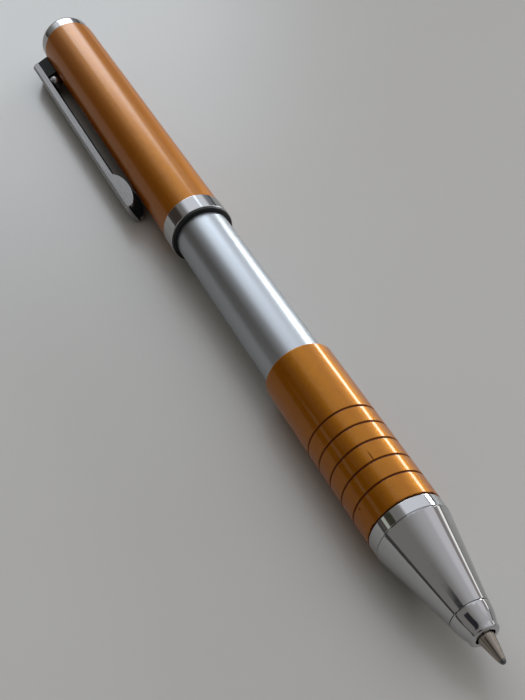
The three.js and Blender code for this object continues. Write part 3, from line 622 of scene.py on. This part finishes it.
# %% Nose cone and its thread
CONE_FRONT, CONE_REAR, BAND_RADIUS = span("nose_cone")
TIP_FRONT, TIP_REAR, SEAM_RADIUS = span("nose_tip")
BAND_LENGTH = 1.55
BAND_GAP = 0.13
NOSE_REAR = GRIP_FRONT + BAND_GAP
BAND_FRONT = GRIP_FRONT + BAND_LENGTH
VEE_WIDTH = 0.16
VEE_DEPTH = 0.14
SPIGOT_RADIUS = 2.825
SPIGOT_BORE = 2.275
NOSE_BORE = 1.3
TIP_SPIGOT_BORE = 1.64
TIP_SPIGOT_END = CONE_FRONT + 0.02 - 2.85
HOLLOW_FRONT = TIP_FRONT - 8.5
SEAM_GAP = 0.16
SEAM_REAR = CONE_FRONT + 0.01 - SEAM_GAP / 2
SEAM_EDGE = 0.03
THREAD_PITCH = 0.5
THREAD_DEPTH = 0.16
THREAD_LEAD = 0.5
THREAD_ROWS = 90


def cone_profile():
    """The cone's wall: seam, taper and band, then the spigot, and back through the bore."""
    corners = [
        (SEAM_REAR, TIP_SPIGOT_BORE, 0.03),
        (SEAM_REAR, SEAM_RADIUS, SEAM_EDGE),
        (BAND_FRONT + VEE_WIDTH / 2, BAND_RADIUS - 0.02, 0.03),
        (BAND_FRONT, BAND_RADIUS - VEE_DEPTH, 0.01),
        (BAND_FRONT - VEE_WIDTH / 2, BAND_RADIUS, 0.03),
        (NOSE_REAR, BAND_RADIUS, 0.06),
        (NOSE_REAR, SPIGOT_RADIUS, 0.04),
        *((x, SPIGOT_RADIUS, 0) for x in np.linspace(*SPIGOT_THREAD, THREAD_ROWS)),
        (CONE_REAR, SPIGOT_RADIUS, 0.15),
        (CONE_REAR, SPIGOT_BORE, 0.05),
        (HOLLOW_FRONT, SPIGOT_BORE, 0.1),
        (HOLLOW_FRONT + SPIGOT_BORE - NOSE_BORE, NOSE_BORE, 0.1),
        (TIP_SPIGOT_END, NOSE_BORE, 0.03),
        (TIP_SPIGOT_END, TIP_SPIGOT_BORE, 0.03),
    ]
    return profile(corners)


def thread(front, rear, radius, depth):
    """The relief of a screw thread, cut into the rows at one radius between front and rear.

    It is a triangle wave of the way from the front over the pitch, minus the share of the turn. It
    fades out at both ends.
    """

    def relief(x, at_radius, turn):
        wave = np.abs(2 * (((front - x) / THREAD_PITCH - turn) % 1) - 1)
        fade = np.clip(np.minimum(front - x, x - rear) / THREAD_LEAD, 0, 1)
        return -depth * wave * fade * (np.abs(at_radius - radius) < 0.01)

    return relief


SPIGOT_THREAD = (NOSE_REAR - 0.35, CONE_REAR + 0.25)
spigot_relief = thread(*SPIGOT_THREAD, SPIGOT_RADIUS, THREAD_DEPTH)
cone = turned("nose_cone_shell", cone_profile(), relief=spigot_relief)
dress(cone, "nose", "nose_cone", chrome)

# %% Nose tip
TIP_SEAM = CONE_FRONT + 0.01 + SEAM_GAP / 2
MOUTH_RADIUS = 1.47
MOUTH_BORE = 0.98
TIP_SPIGOT_RADIUS = 1.62
BULGE_STEPS = 24
BULGE_POWER = 1.6


def tip_profile():
    """The tip's wall: mouth, bullet flank, seam edge, hidden spigot and stepped bore.

    The flank's radius falls from seam to mouth with a power of the way forward.
    """
    front, mouth = TIP_FRONT - 0.5, MOUTH_RADIUS + 0.04
    rear, seam = TIP_SEAM - 0.08, SEAM_RADIUS - 0.01
    way = np.linspace(0, 1, BULGE_STEPS)
    flank = [(rear + (front - rear) * w, seam - (seam - mouth) * w**BULGE_POWER, 0) for w in way]
    corners = [
        (TIP_FRONT, MOUTH_BORE, 0.05),
        (TIP_FRONT, MOUTH_RADIUS, 0.46),
        *flank[::-1],
        (TIP_SEAM, SEAM_RADIUS, SEAM_EDGE),
        (TIP_SEAM, TIP_SPIGOT_RADIUS, 0.02),
        (TIP_REAR, TIP_SPIGOT_RADIUS, 0.05),
        (TIP_REAR, NOSE_BORE, 0.03),
        (TIP_FRONT - 2.0, NOSE_BORE, 0.1),
        (TIP_FRONT - 1.2, MOUTH_BORE, 0.1),
    ]
    return profile(corners)


dress(turned("nose_tip_shell", tip_profile()), "nose", "nose_tip", chrome)

# %% [markdown]
# ## The refill
# The refill's tip narrows in two steps to the socket that holds the ball. Its rim is rolled over
# the ball after the ball goes in, so the ball stands out by less than half. Ink keeps it dark. A
# UV sphere could be the ball, but half a circle, turned on the same axis, needs no placing.

# %% Refill tip, ball and tube
CONE_TOP, CONE_BASE, REFILL_RADIUS = span("refill_tip")
BALL_FRONT = span("tip_ball")[0]
RIM_RADIUS = 0.35
POINT_BALL = 0.29
BALL_STEPS = 40
REFILL_WALL = 0.22
REFILL_BORE = REFILL_RADIUS - REFILL_WALL
NECK_FRONT, NECK_FRONT_RADIUS = TIP_FRONT + 0.25, 0.78
NECK_REAR, NECK_REAR_RADIUS = TIP_FRONT - 1.6, 1.0
COLLAR_FRONT, COLLAR_REAR = TIP_FRONT - 2.6, TIP_FRONT - 3.35

point_corners = [
    (CONE_TOP, 0, 0),
    (CONE_TOP, RIM_RADIUS, 0.05),
    (NECK_FRONT, NECK_FRONT_RADIUS, 0.2),
    (NECK_REAR, NECK_REAR_RADIUS, 0.2),
    (COLLAR_FRONT, REFILL_RADIUS, 0.1),
    (COLLAR_REAR, REFILL_RADIUS, 0.02),
    (COLLAR_REAR, REFILL_BORE, 0.02),
    (CONE_BASE, REFILL_BORE, 0.05),
    (CONE_BASE, 0, 0),
]
point = turned("refill_point", profile(point_corners, closed=False), closed=False, sides=128)
dress(point, "refill", "refill_tip", nickel_silver)

half_turn = np.linspace(0, math.pi, BALL_STEPS)
ball_x = BALL_FRONT - POINT_BALL + POINT_BALL * np.cos(half_turn)
half_circle = np.stack([ball_x, POINT_BALL * np.sin(half_turn)], axis=1)
half_circle[[0, -1], 1] = 0
ball = turned("writing_ball", half_circle, closed=False, sides=64)
dress(ball, "refill", "tip_ball", ball_steel)

INK_FRONT, INK_REAR, INK_TUBE_RADIUS = span("refill_tube")
ink_bore = INK_TUBE_RADIUS - REFILL_WALL
ink_wall = pipe_profile(INK_FRONT, INK_REAR, INK_TUBE_RADIUS, ink_bore, 0.04, 0.02)
dress(turned("ink_tube", ink_wall, sides=96), "refill", "refill_tube", bare_brass)

# %% [markdown]
# ## The barrel, its mouth ring and its cap
# The barrel is a drawn tube. A chromed ring is pressed over its mouth, and the black bush inside
# shows as a thin dark lip. At the rear, a rounded chromed cap closes it. A bevelled cylinder
# could be the barrel, but a profile also cuts the ring's seat into its mouth.

# %% Barrel shell
PRESS_FIT = 0.02
BARREL_BORE = BARREL_RADIUS - 0.26
RING_SEAT = BARREL_RADIUS - 0.11
RING_FRONT, RING_REAR, RING_RADIUS = span("barrel_ring")
barrel_corners = [
    (BARREL_FRONT, BARREL_BORE, 0.03),
    (BARREL_FRONT, RING_SEAT, 0.03),
    (RING_REAR - PRESS_FIT, RING_SEAT, 0.02),
    (RING_REAR - PRESS_FIT, BARREL_RADIUS, 0.05),
    (BARREL_REAR, BARREL_RADIUS, 0.08),
    (BARREL_REAR, BARREL_BORE, 0.03),
]
barrel = turned("barrel_shell", profile(barrel_corners))
dress(barrel, "barrel", "rear_barrel", barrel_lacquer)

# %% Mouth ring, bush and cap
ring_wall = pipe_profile(RING_FRONT, RING_REAR, RING_RADIUS, RING_SEAT + PRESS_FIT, 0.09, 0.03)
dress(turned("mouth_ring", ring_wall), "barrel", "barrel_ring", chrome)

BUSH_FRONT, BUSH_REAR, LIP_RADIUS = span("slide_bush")
BUSH_BORE = TUBE_RADIUS + 0.035
BUSH_RADIUS = BARREL_BORE - PRESS_FIT
LIP_REAR = BUSH_FRONT - 0.25
bush_corners = [
    (BUSH_FRONT, BUSH_BORE, 0.06),
    (BUSH_FRONT, LIP_RADIUS, 0.1),
    (LIP_REAR, LIP_RADIUS, 0.04),
    (LIP_REAR, BUSH_RADIUS, 0.02),
    (BUSH_REAR, BUSH_RADIUS, 0.04),
    (BUSH_REAR, BUSH_BORE, 0.04),
]
bush = turned("bush_and_lip", profile(bush_corners))
dress(bush, "barrel", "slide_bush", black_nylon)

CAP_FRONT, CAP_REAR, _ = span("end_cap")
CAP_RADIUS = BARREL_RADIUS - 0.08
CAP_EDGE = CAP_REAR + 2.5
CAP_ROUNDING = 1.25
cap_corners = [
    (CAP_FRONT, 0, 0),
    (CAP_FRONT, BARREL_BORE - PRESS_FIT, 0.05),
    (CAP_EDGE, BARREL_BORE - PRESS_FIT, 0.02),
    (CAP_EDGE, CAP_RADIUS, 0.06),
    (CAP_REAR, CAP_RADIUS, CAP_ROUNDING),
    (CAP_REAR, 0, 0),
]
cap = turned("rear_cap", profile(cap_corners, closed=False), closed=False)
dress(cap, "barrel", "end_cap", chrome)

# %% [markdown]
# ## The clip
# The clip is one strip of spring steel, pressed into a channel: a crowned web with a side wall
# folded down along each edge. Near the front end the walls swell into a leaf shaped pad that
# presses on the pocket. The sheet is a surface of two parameters, the share of the length and the
# way across the folded strip. Solidify adds its thickness inwards, and Bevel breaks its cut edges.

# %% Clip channel
CLIP_TRIM = 0.9
CLIP_SINK = 0.02
CLIP_FRONT, CLIP_REAR = span("clip")[0] - CLIP_TRIM, span("clip")[1]
CLIP_LENGTH = CLIP_FRONT - CLIP_REAR
CLIP_WIDTH = 3.0
CLIP_SHEET = 0.35
CLIP_REAR_HEIGHT = 2.44
CLIP_FRONT_HEIGHT = 2.16
CLIP_CORNER = 0.3
CLIP_CROWN = 0.06
CLIP_SIDE_DEPTH = 1.02
CLIP_END_ROUNDING = 0.5
CLIP_END_DROP = 0.45
PAD_DEPTH = 2.0
PAD_CENTRE = 3.3
PAD_FRONT_LENGTH = 3.3
PAD_REAR_LENGTH = 3.5
PAD_FULLNESS = 0.7
CLIP_ROWS = 180
WALL_STEPS = 10
CORNER_STEPS = 8
WEB_STEPS = 14
CUT_EDGE = 0.12
CUT_ANGLE = 50


def clip_line(share):
    """Height over the axis of the clip's outer edge, a straight line from rear to front."""
    rise = (CLIP_FRONT_HEIGHT - CLIP_REAR_HEIGHT) * share
    return BARREL_RADIUS - CLIP_SINK + CLIP_REAR_HEIGHT + rise


def clip_top(share):
    """Height of the web over the pen's axis. It drops along a quarter circle at both ends."""
    from_end = np.minimum(share, 1 - share) * CLIP_LENGTH
    inward = np.clip(1 - from_end / CLIP_END_ROUNDING, 0, 1)
    return clip_line(share) - CLIP_END_DROP * (1 - np.sqrt(1 - inward**2))


def clip_edge(share):
    """Height of the walls' lower edge. Over the pad it swells as 1 - u^2 to a power, u being the
    way from the pad's middle over its reach, so the pad starts with a shoulder and ends full."""
    from_pad = (1 - share) * CLIP_LENGTH - PAD_CENTRE
    reach = np.where(from_pad > 0, PAD_REAR_LENGTH, PAD_FRONT_LENGTH)
    swell = np.clip(1 - (from_pad / reach) ** 2, 0, 1) ** PAD_FULLNESS
    return clip_line(share) - (CLIP_SIDE_DEPTH + (PAD_DEPTH - CLIP_SIDE_DEPTH) * swell)


def clip_sheet():
    """Outer face of the folded strip: half a section from wall to crown, and its mirror image."""
    share = (1 - np.cos(np.linspace(0, math.pi, CLIP_ROWS))) / 2
    top, edge = clip_top(share)[:, None], clip_edge(share)[:, None]
    half, flat = CLIP_WIDTH / 2, CLIP_WIDTH / 2 - CLIP_CORNER
    climb = np.linspace(0, 1, WALL_STEPS)[None, :-1]
    wall_height = edge + (top - CLIP_CORNER - edge) * climb
    wall_across = np.full_like(wall_height, half)
    turn = np.linspace(0, math.pi / 2, CORNER_STEPS)[None, :-1]
    corner_height = top - CLIP_CORNER * (1 - np.sin(turn))
    corner_across = np.broadcast_to(flat + CLIP_CORNER * np.cos(turn), corner_height.shape)
    way = np.linspace(1, 0, WEB_STEPS)[None, :]
    web_height = top + CLIP_CROWN * (1 - way**2)
    web_across = np.broadcast_to(flat * way, web_height.shape)
    height = np.hstack([wall_height, corner_height, web_height])
    across = np.hstack([wall_across, corner_across, web_across])
    height = np.hstack([height, height[:, -2::-1]])
    across = np.hstack([across, -across[:, -2::-1]])
    x = np.broadcast_to((CLIP_REAR + share * CLIP_LENGTH)[:, None], height.shape)
    return x, height, across


def beside_axis(x, height, across):
    """Points in metres at a height from the axis towards the clip and a distance across it."""
    place = x[..., None] * np.array(ALONG) + height[..., None] * np.array(OUTWARD)
    place = place + across[..., None] * np.array(ACROSS)
    return (place * MM + np.array([0, AXIS_Y, AXIS_Z])).reshape(-1, 3)


def break_edges(piece, width, segments):
    """A live bevel on the piece's sharp edges, its width in millimetres."""
    edges = piece.modifiers.new("broken edges", "BEVEL")
    edges.width = width * MM
    edges.segments = segments
    edges.limit_method = "ANGLE"
    edges.angle_limit = math.radians(CUT_ANGLE)
    return edges


def clip_piece():
    """The folded strip, whose faces point away from the channel, with its thickness live."""
    x, height, across = clip_sheet()
    rows, columns = x.shape
    step = np.hypot(np.diff(height, axis=1), np.diff(across, axis=1))
    way = np.hstack([np.zeros((rows, 1)), np.cumsum(step, axis=1)])
    uv = np.stack([x.ravel(), way.ravel()], axis=1)
    points, faces = beside_axis(x, height, across), grid_faces(rows, columns)
    mesh = surface_mesh("clip_channel", points, faces, uv)
    middle = mesh.polygons[(rows // 2) * (columns - 1) + columns // 2]
    if middle.normal.dot(OUTWARD) < 0:
        mesh.flip_normals()
    piece = smooth_object(mesh)
    wall = piece.modifiers.new("sheet thickness", "SOLIDIFY")
    wall.thickness = CLIP_SHEET * MM
    wall.offset = -1
    wall.use_even_offset = True
    wall.material_offset = 1
    break_edges(piece, CUT_EDGE, 3).harden_normals = True
    return piece


clip = clip_piece()
dress(clip, "clip", "clip", clip_finish)
# the solidified inner faces take the near black steel of painted shade
clip.data.materials.append(clip_inside_shade_steel)

# %% [markdown]
# ## The clip's post
# Under the clip's rear end a small matt block carries it, painted near black for the deep shade
# between the clip and the barrel. The block is an outline of its side view carried across the clip,
# and its hollow foot follows the barrel's circle. A steel tongue stands out of its front face,
# polished by the pocket's cloth, and catches the light there.

# %% Clip post
HEEL_REAR = BARREL_REAR + 0.05
HEEL_DEPTH = 0.92
POST_FRONT, POST_REAR, _ = span("clip_post")
POST_GAP = 0.05
POST_FOOT_GAP = 0.02
POST_WIDTH = CLIP_WIDTH - 2 * CLIP_SHEET - 2 * POST_GAP
POST_ROUNDING = 0.8
POST_EDGE = 0.06
POST_STEPS = 13


def post_piece():
    """A block under the clip: its top follows the web's underside and its foot the barrel."""
    across = np.linspace(-POST_WIDTH / 2, POST_WIDTH / 2, POST_STEPS)[None, :]
    share = np.array([(POST_FRONT - CLIP_REAR) / CLIP_LENGTH])
    top = clip_top(share)[0] - CLIP_SHEET - POST_GAP
    turn = np.linspace(0, math.pi / 2, FILLET_STEPS + 2)
    nose_x = POST_FRONT - POST_ROUNDING * (1 - np.sin(turn))
    nose_height = top - POST_ROUNDING * (1 - np.cos(turn))
    heel = clip_line(0) - HEEL_DEPTH
    x = np.concatenate([[HEEL_REAR, POST_REAR, POST_REAR], nose_x, [POST_FRONT, HEEL_REAR]])
    height = np.concatenate([[heel, heel, top], nose_height, [0, 0]])
    x, height, across = map(np.array, np.broadcast_arrays(x[:, None], height[:, None], across))
    height[-2:] = np.sqrt((BARREL_RADIUS + POST_FOOT_GAP) ** 2 - across[-2:] ** 2)
    corner = np.arange(x.size).reshape(x.shape)
    after = np.roll(corner, -1, axis=0)
    flanks = np.stack([corner[:, :-1], corner[:, 1:], after[:, 1:], after[:, :-1]], axis=-1)
    faces = [*flanks.reshape(-1, 4).tolist(), corner[:, 0].tolist(), corner[:, -1].tolist()]
    mesh = bpy.data.meshes.new("clip_block")
    mesh.from_pydata(beside_axis(x, height, across).tolist(), [], faces)
    close_mesh(mesh)
    piece = smooth_object(mesh)
    break_edges(piece, POST_EDGE, 2)
    return piece


# the block takes the near black of painted shade
dress(post_piece(), "barrel", "clip_post", post_shade_black)

# %% Tongue in front of the post
TONGUE_HALVES = (0.9, 0.85, 1.0)
TONGUE_CENTRE = (POST_FRONT + 0.35, BARREL_RADIUS + 0.95, 0.1)
TONGUE_SQUARENESS = 0.75


def tongue_piece():
    """A pillow: sine and cosine of two angles, each raised to a power below 1 that squares it."""
    polar, around = np.linspace(0, math.pi, 33)[:, None], np.linspace(0, 2 * math.pi, 49)[None]

    def squared(value):
        return np.sign(value) * np.abs(value) ** TONGUE_SQUARENESS

    ring = squared(np.where(np.sin(polar) < 1e-9, 0, np.sin(polar)))
    x = TONGUE_CENTRE[0] + TONGUE_HALVES[0] * squared(np.cos(polar)) + 0 * around
    height = TONGUE_CENTRE[1] + TONGUE_HALVES[1] * ring * squared(np.cos(around))
    across = TONGUE_CENTRE[2] + TONGUE_HALVES[2] * ring * squared(np.sin(around))
    uv = np.stack(np.broadcast_arrays(around, polar), axis=-1).reshape(-1, 2)
    return mesh_piece("clip_tongue", beside_axis(x, height, across), grid_faces(*x.shape), uv)


dress(tongue_piece(), "barrel", "clip_post", clip_finish)

# %% [markdown]
# ## Return spring and threaded insert
# The spring is one wire wound round the refill: a small circle carried along a helix. The tube
# holds its front end and the refill's carrier its rear end.
# The brass insert in the tube's mouth gets the thread that takes the nose.

# %% Return spring
SPRING_TURNS = 10
SPRING_STEPS = 32
WIRE_SIDES = 14
SPRING_CLEARANCE = 0.15


def spring_piece():
    """A round wire along a helix.

    Ring i has its centre at angle 2 pi i / steps round the axis and at an even share of the length.
    Point j of a ring stands off that centre by the wire's radius, outwards by cos b_j and forwards
    by sin b_j. One more ring of no thickness closes the wire at each end.
    """
    wire = (spring_outer - (INK_TUBE_RADIUS + SPRING_CLEARANCE)) / 2
    rows = SPRING_TURNS * SPRING_STEPS + 1
    ring = np.clip(np.arange(-1, rows + 1), 0, rows - 1)[:, None]
    turn = 2 * math.pi * ring / SPRING_STEPS
    centre_x = np.linspace(spring_front - wire, spring_rear + wire, rows)[ring]
    beta = np.linspace(0, 2 * math.pi, WIRE_SIDES + 1)[None, :]
    thick = np.full((rows + 2, 1), wire)
    thick[[0, -1]] = 0
    radius = spring_outer - wire + thick * np.cos(beta)
    points = round_axis(centre_x + thick * np.sin(beta), radius, turn)
    way = np.broadcast_arrays(turn * (spring_outer - wire), beta * wire)
    uv = np.stack(way, axis=-1).reshape(-1, 2)
    return mesh_piece("wound_spring", points, grid_faces(*radius.shape), uv)


spring_front, spring_rear, spring_outer = span("return_spring")
spring = spring_piece()
spring.data.materials.append(spring_steel)
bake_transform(spring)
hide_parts("return_spring")
print("spring faces:", len(spring.data.polygons))

# %% Threaded insert
INSERT_FRONT, INSERT_REAR, INSERT_RADIUS = span("thread_insert")
INSERT_BORE = SPIGOT_RADIUS + 0.02
INSERT_LEAD = 0.35
INSERT_DEPTH = 0.8 * THREAD_DEPTH
insert_rows = np.linspace(INSERT_REAR + 0.3, INSERT_FRONT - 0.3, THREAD_ROWS)
insert_corners = [
    *((x, INSERT_BORE, 0) for x in insert_rows),
    (INSERT_FRONT, INSERT_BORE, 0.12),
    (INSERT_FRONT, INSERT_RADIUS, 0.05),
    (INSERT_REAR, INSERT_RADIUS, 0.05),
    (INSERT_REAR, INSERT_BORE, 0.05),
]
insert_thread = (INSERT_FRONT - INSERT_LEAD, INSERT_REAR + INSERT_LEAD)
insert_relief = thread(*insert_thread, INSERT_BORE, -INSERT_DEPTH)
insert = turned("threaded_insert", profile(insert_corners), relief=insert_relief)
dress(insert, "front", "thread_insert", bare_brass)

# %% [markdown]
# ## The pieces inside
# The CAD nodes inside keep their shapes, because the pen hides them, and get their real finishes:
# brass, steel, acetal, nylon, rubber and ink.

# %% Finishes of the inner nodes
inner_finishes = (
    (bare_brass, ("tail_collar", "guide_tube")),
    (nitrile, ("friction_ring",)),
    (acetal, ("guide_plug", "guide_cap", "rotor", "refill_carrier", "spiral_sleeve")),
    (black_nylon, ("end_plug",)),
    (ball_steel, ("drive_pin", "cam_pin")),
    (oil_ink, ("ink_column",)),
)
for finish, node_names in inner_finishes:
    for node_name in node_names:
        nodes[node_name].data.materials.clear()
        nodes[node_name].data.materials.append(finish)
    print(finish.name, "dresses", *node_names)

# %% [markdown]
# ## The table
# A painted table top, pale and slightly warm. Its paint is matt with a soft sheen, which spreads
# the bright window into a pale glare beyond the pen's rear end. One square is enough: its brush
# marks are too fine for a mesh.

# %% Table
TABLE_HALF = 4.0
TABLE_LIGHT = "ceccc7"
TABLE_DARK = "cac7c2"
TABLE_SHEEN = 0.085
TABLE_SHEEN_ROUGHNESS = 0.3
BLOTCHES_PER_MM = (0.05, 0.02, 0.05)
BRUSH_MARKS_PER_MM = (0.3, 1.5, 0.3)
BRUSH_MARK_HEIGHT = 0.01


def table_finish():
    """Paint on a smooth top: two close tones in soft blotches, and a faint grain of brush marks."""
    material, tree = empty_finish("satin_painted_table")
    blotches = {"Vector": object_place(tree, BLOTCHES_PER_MM), "Scale": 1.0, "Detail": 5.0}
    blotches = add_node(tree, "ShaderNodeTexNoise", blotches)
    shades = {0: blotches, 6: linear(TABLE_LIGHT), 7: linear(TABLE_DARK)}
    colour = add_node(tree, "ShaderNodeMix", shades, data_type="RGBA").outputs[2]
    marks = {"Vector": object_place(tree, BRUSH_MARKS_PER_MM), "Scale": 1.0, "Detail": 3.0}
    marks = add_node(tree, "ShaderNodeTexNoise", marks)
    brushed = {"Height": marks, "Distance": BRUSH_MARK_HEIGHT * MM}
    brushed = add_node(tree, "ShaderNodeBump", brushed)
    paint = add_node(tree, "ShaderNodeBsdfDiffuse", {"Color": colour, "Normal": brushed})
    sheen = {"Roughness": TABLE_SHEEN_ROUGHNESS, "Normal": brushed}
    sheen = add_node(tree, "ShaderNodeBsdfGlossy", sheen)
    surface = add_node(tree, "ShaderNodeMixShader", {0: TABLE_SHEEN, 1: paint, 2: sheen})
    add_node(tree, "ShaderNodeOutputMaterial", {"Surface": surface})
    return material


table_mesh = bpy.data.meshes.new("table_top")
table_corners = np.array([[-1, -1, 0], [1, -1, 0], [1, 1, 0], [-1, 1, 0]]) * TABLE_HALF
table_mesh.from_pydata(table_corners.tolist(), [], [[0, 1, 2, 3]])
table = bpy.data.objects.new("table_top", table_mesh)
bpy.context.scene.collection.objects.link(table)
table_mesh.materials.append(table_finish())
print("table half width:", TABLE_HALF, "m")

# %% [markdown]
# ## The light
# A wide soft window stands low on the right of the pen, and a high one stands beyond its rear end.
# The rest of the room is a soft grey: lighter on the window's side, dark just above the horizon.
# Polished metal shows this room, so it is a world of soft patches, laid one over the other. Each
# has its azimuth from +X towards +Y, its elevation and the softness of its edges, in degrees. The
# product of a patch's four smooth steps mixes it over what lies below.

# %% Room
room_world = bpy.data.worlds.new("soft_grey_room")
bpy.context.scene.world = room_world
room_world.use_nodes = True
room_world.node_tree.nodes.clear()
room = room_world.node_tree
direction = add_node(room, "ShaderNodeTexCoord").outputs["Generated"]
look = add_node(room, "ShaderNodeSeparateXYZ", {"Vector": direction})
azimuth = {0: look.outputs["Y"], 1: look.outputs["X"]}
azimuth = add_node(room, "ShaderNodeMath", azimuth, operation="ARCTAN2")
azimuth = add_node(room, "ShaderNodeMath", {0: azimuth}, operation="DEGREES")
azimuth = add_node(room, "ShaderNodeMath", {0: azimuth, 1: 360.0, 2: 0.0}, operation="WRAP")
elevation = add_node(room, "ShaderNodeMath", {0: look.outputs["Z"]}, operation="ARCSINE")
elevation = add_node(room, "ShaderNodeMath", {0: elevation}, operation="DEGREES")
print("nodes for the angles:", len(room.nodes))


def lay_over(walls, edges, radiance):
    """Mixes a radiance over the walls. An edge is a value, where its step is 0 and where 1."""
    factor = 1.0
    for value, outside, inside in edges:
        step = {"Value": value, "From Min": outside, "From Max": inside}
        step = add_node(room, "ShaderNodeMapRange", step, interpolation_type="SMOOTHSTEP")
        factor = add_node(room, "ShaderNodeMath", {0: factor, 1: step}, operation="MULTIPLY")
    mixed = {0: factor, 6: walls, 7: (*radiance, 1)}
    return add_node(room, "ShaderNodeMix", mixed, data_type="RGBA").outputs[2]


# %% Walls, ceiling and windows
WALL = (0.24, 0.229, 0.213, 1)
SEEN_WALL = (0.62, 0.61, 0.6, 1)
GLOW_AXIS = (-0.110, 0.780, 0.616)
GLOW_STEPS = (
    (0.1, 1.1, (0.62, 0.61, 0.63)),
    (0.93, 1.0, (0.80, 0.79, 0.82)),
)
PATCHES = (
    # pale ceiling, dark doorway, the window's own wall and the dark foot of all walls
    ((122, 190), (26, 62), 16, (0.95, 0.97, 1.02)),
    ((215, 238), (-5, 24), 10, (0.056, 0.042, 0.035)),
    ((112, 150), (-5, 14), 10, (0.24, 0.24, 0.26)),
    ((0, 360), (-90, 3), 6, (0.07, 0.065, 0.06)),
    # dark cabinet, dark beam, dark canopy, and a shelf with the shadow over it
    ((252, 275), (0, 9), 2, (0.06, 0.055, 0.05)),
    ((325, 342), (36, 56), 5, (0.04, 0.035, 0.04)),
    ((271, 325), (39, 63), 2, (0.03, 0.03, 0.035)),
    ((232, 246), (28, 40), 2, (0.05, 0.05, 0.035)),
    ((233, 248), (16, 22), 2, (0.55, 0.57, 0.5)),
    # high window, a blind, the dim end of the low window and its bright end
    ((158, 180), (20, 32), 6, (4.9, 5.4, 5.9)),
    ((90, 112), (15, 24), 3, (0.34, 0.31, 0.295)),
    ((94, 110), (4, 10), 2, (1.5, 1.45, 1.4)),
    ((110, 134), (8, 15), 2, (12.5, 13.2, 13.4)),
)
glow = {0: direction, 1: GLOW_AXIS}
glow = add_node(room, "ShaderNodeVectorMath", glow, operation="DOT_PRODUCT").outputs["Value"]
walls = WALL
for outside, inside, radiance in GLOW_STEPS:
    walls = lay_over(walls, [(glow, outside, inside)], radiance)
for (left, right), (low, high), soft, radiance in PATCHES:
    edges = [(azimuth, left - soft, left), (azimuth, right + soft, right)]
    edges += [(elevation, low - soft, low), (elevation, high + soft, high)]
    walls = lay_over(walls, edges, radiance)
seen = add_node(room, "ShaderNodeLightPath").outputs["Is Camera Ray"]
seen = {0: seen, 6: walls, 7: SEEN_WALL}
seen = add_node(room, "ShaderNodeMix", seen, data_type="RGBA").outputs[2]
backdrop = add_node(room, "ShaderNodeBackground", {"Color": seen})
add_node(room, "ShaderNodeOutputWorld", {"Surface": backdrop})
print("room nodes:", len(room.nodes))

# %% [markdown]
# ## The camera
# The camera stands in front of the nose, to the clip's side, and looks down by 45 degrees. Its
# place comes from fitting the pen's axis and edges to the photograph, whose focal length is about
# twice the picture's width.

# %% Camera
PICTURE_WIDTH = 525
FOCAL_PIXELS = 1082
SENSOR_WIDTH = 36
CAMERA_PLACE = (87.66, -36.24, 85.5)
CAMERA_LOOK = (-0.6334, 0.3074, -0.710)
camera_data = bpy.data.cameras.new("photo_camera")
camera_data.sensor_fit = "HORIZONTAL"
camera_data.sensor_width = SENSOR_WIDTH
camera_data.lens = FOCAL_PIXELS / PICTURE_WIDTH * SENSOR_WIDTH
camera_data.clip_start = 0.005
camera = bpy.data.objects.new("photo_camera", camera_data)
bpy.context.scene.collection.objects.link(camera)
camera.location = Vector(CAMERA_PLACE) * MM
camera.rotation_euler = Vector(CAMERA_LOOK).to_track_quat("-Z", "Y").to_euler()
bpy.context.scene.camera = camera
bpy.context.scene.view_settings.view_transform = "Standard"
print("lens", round(camera_data.lens, 1), "mm on a sensor", SENSOR_WIDTH, "mm wide")
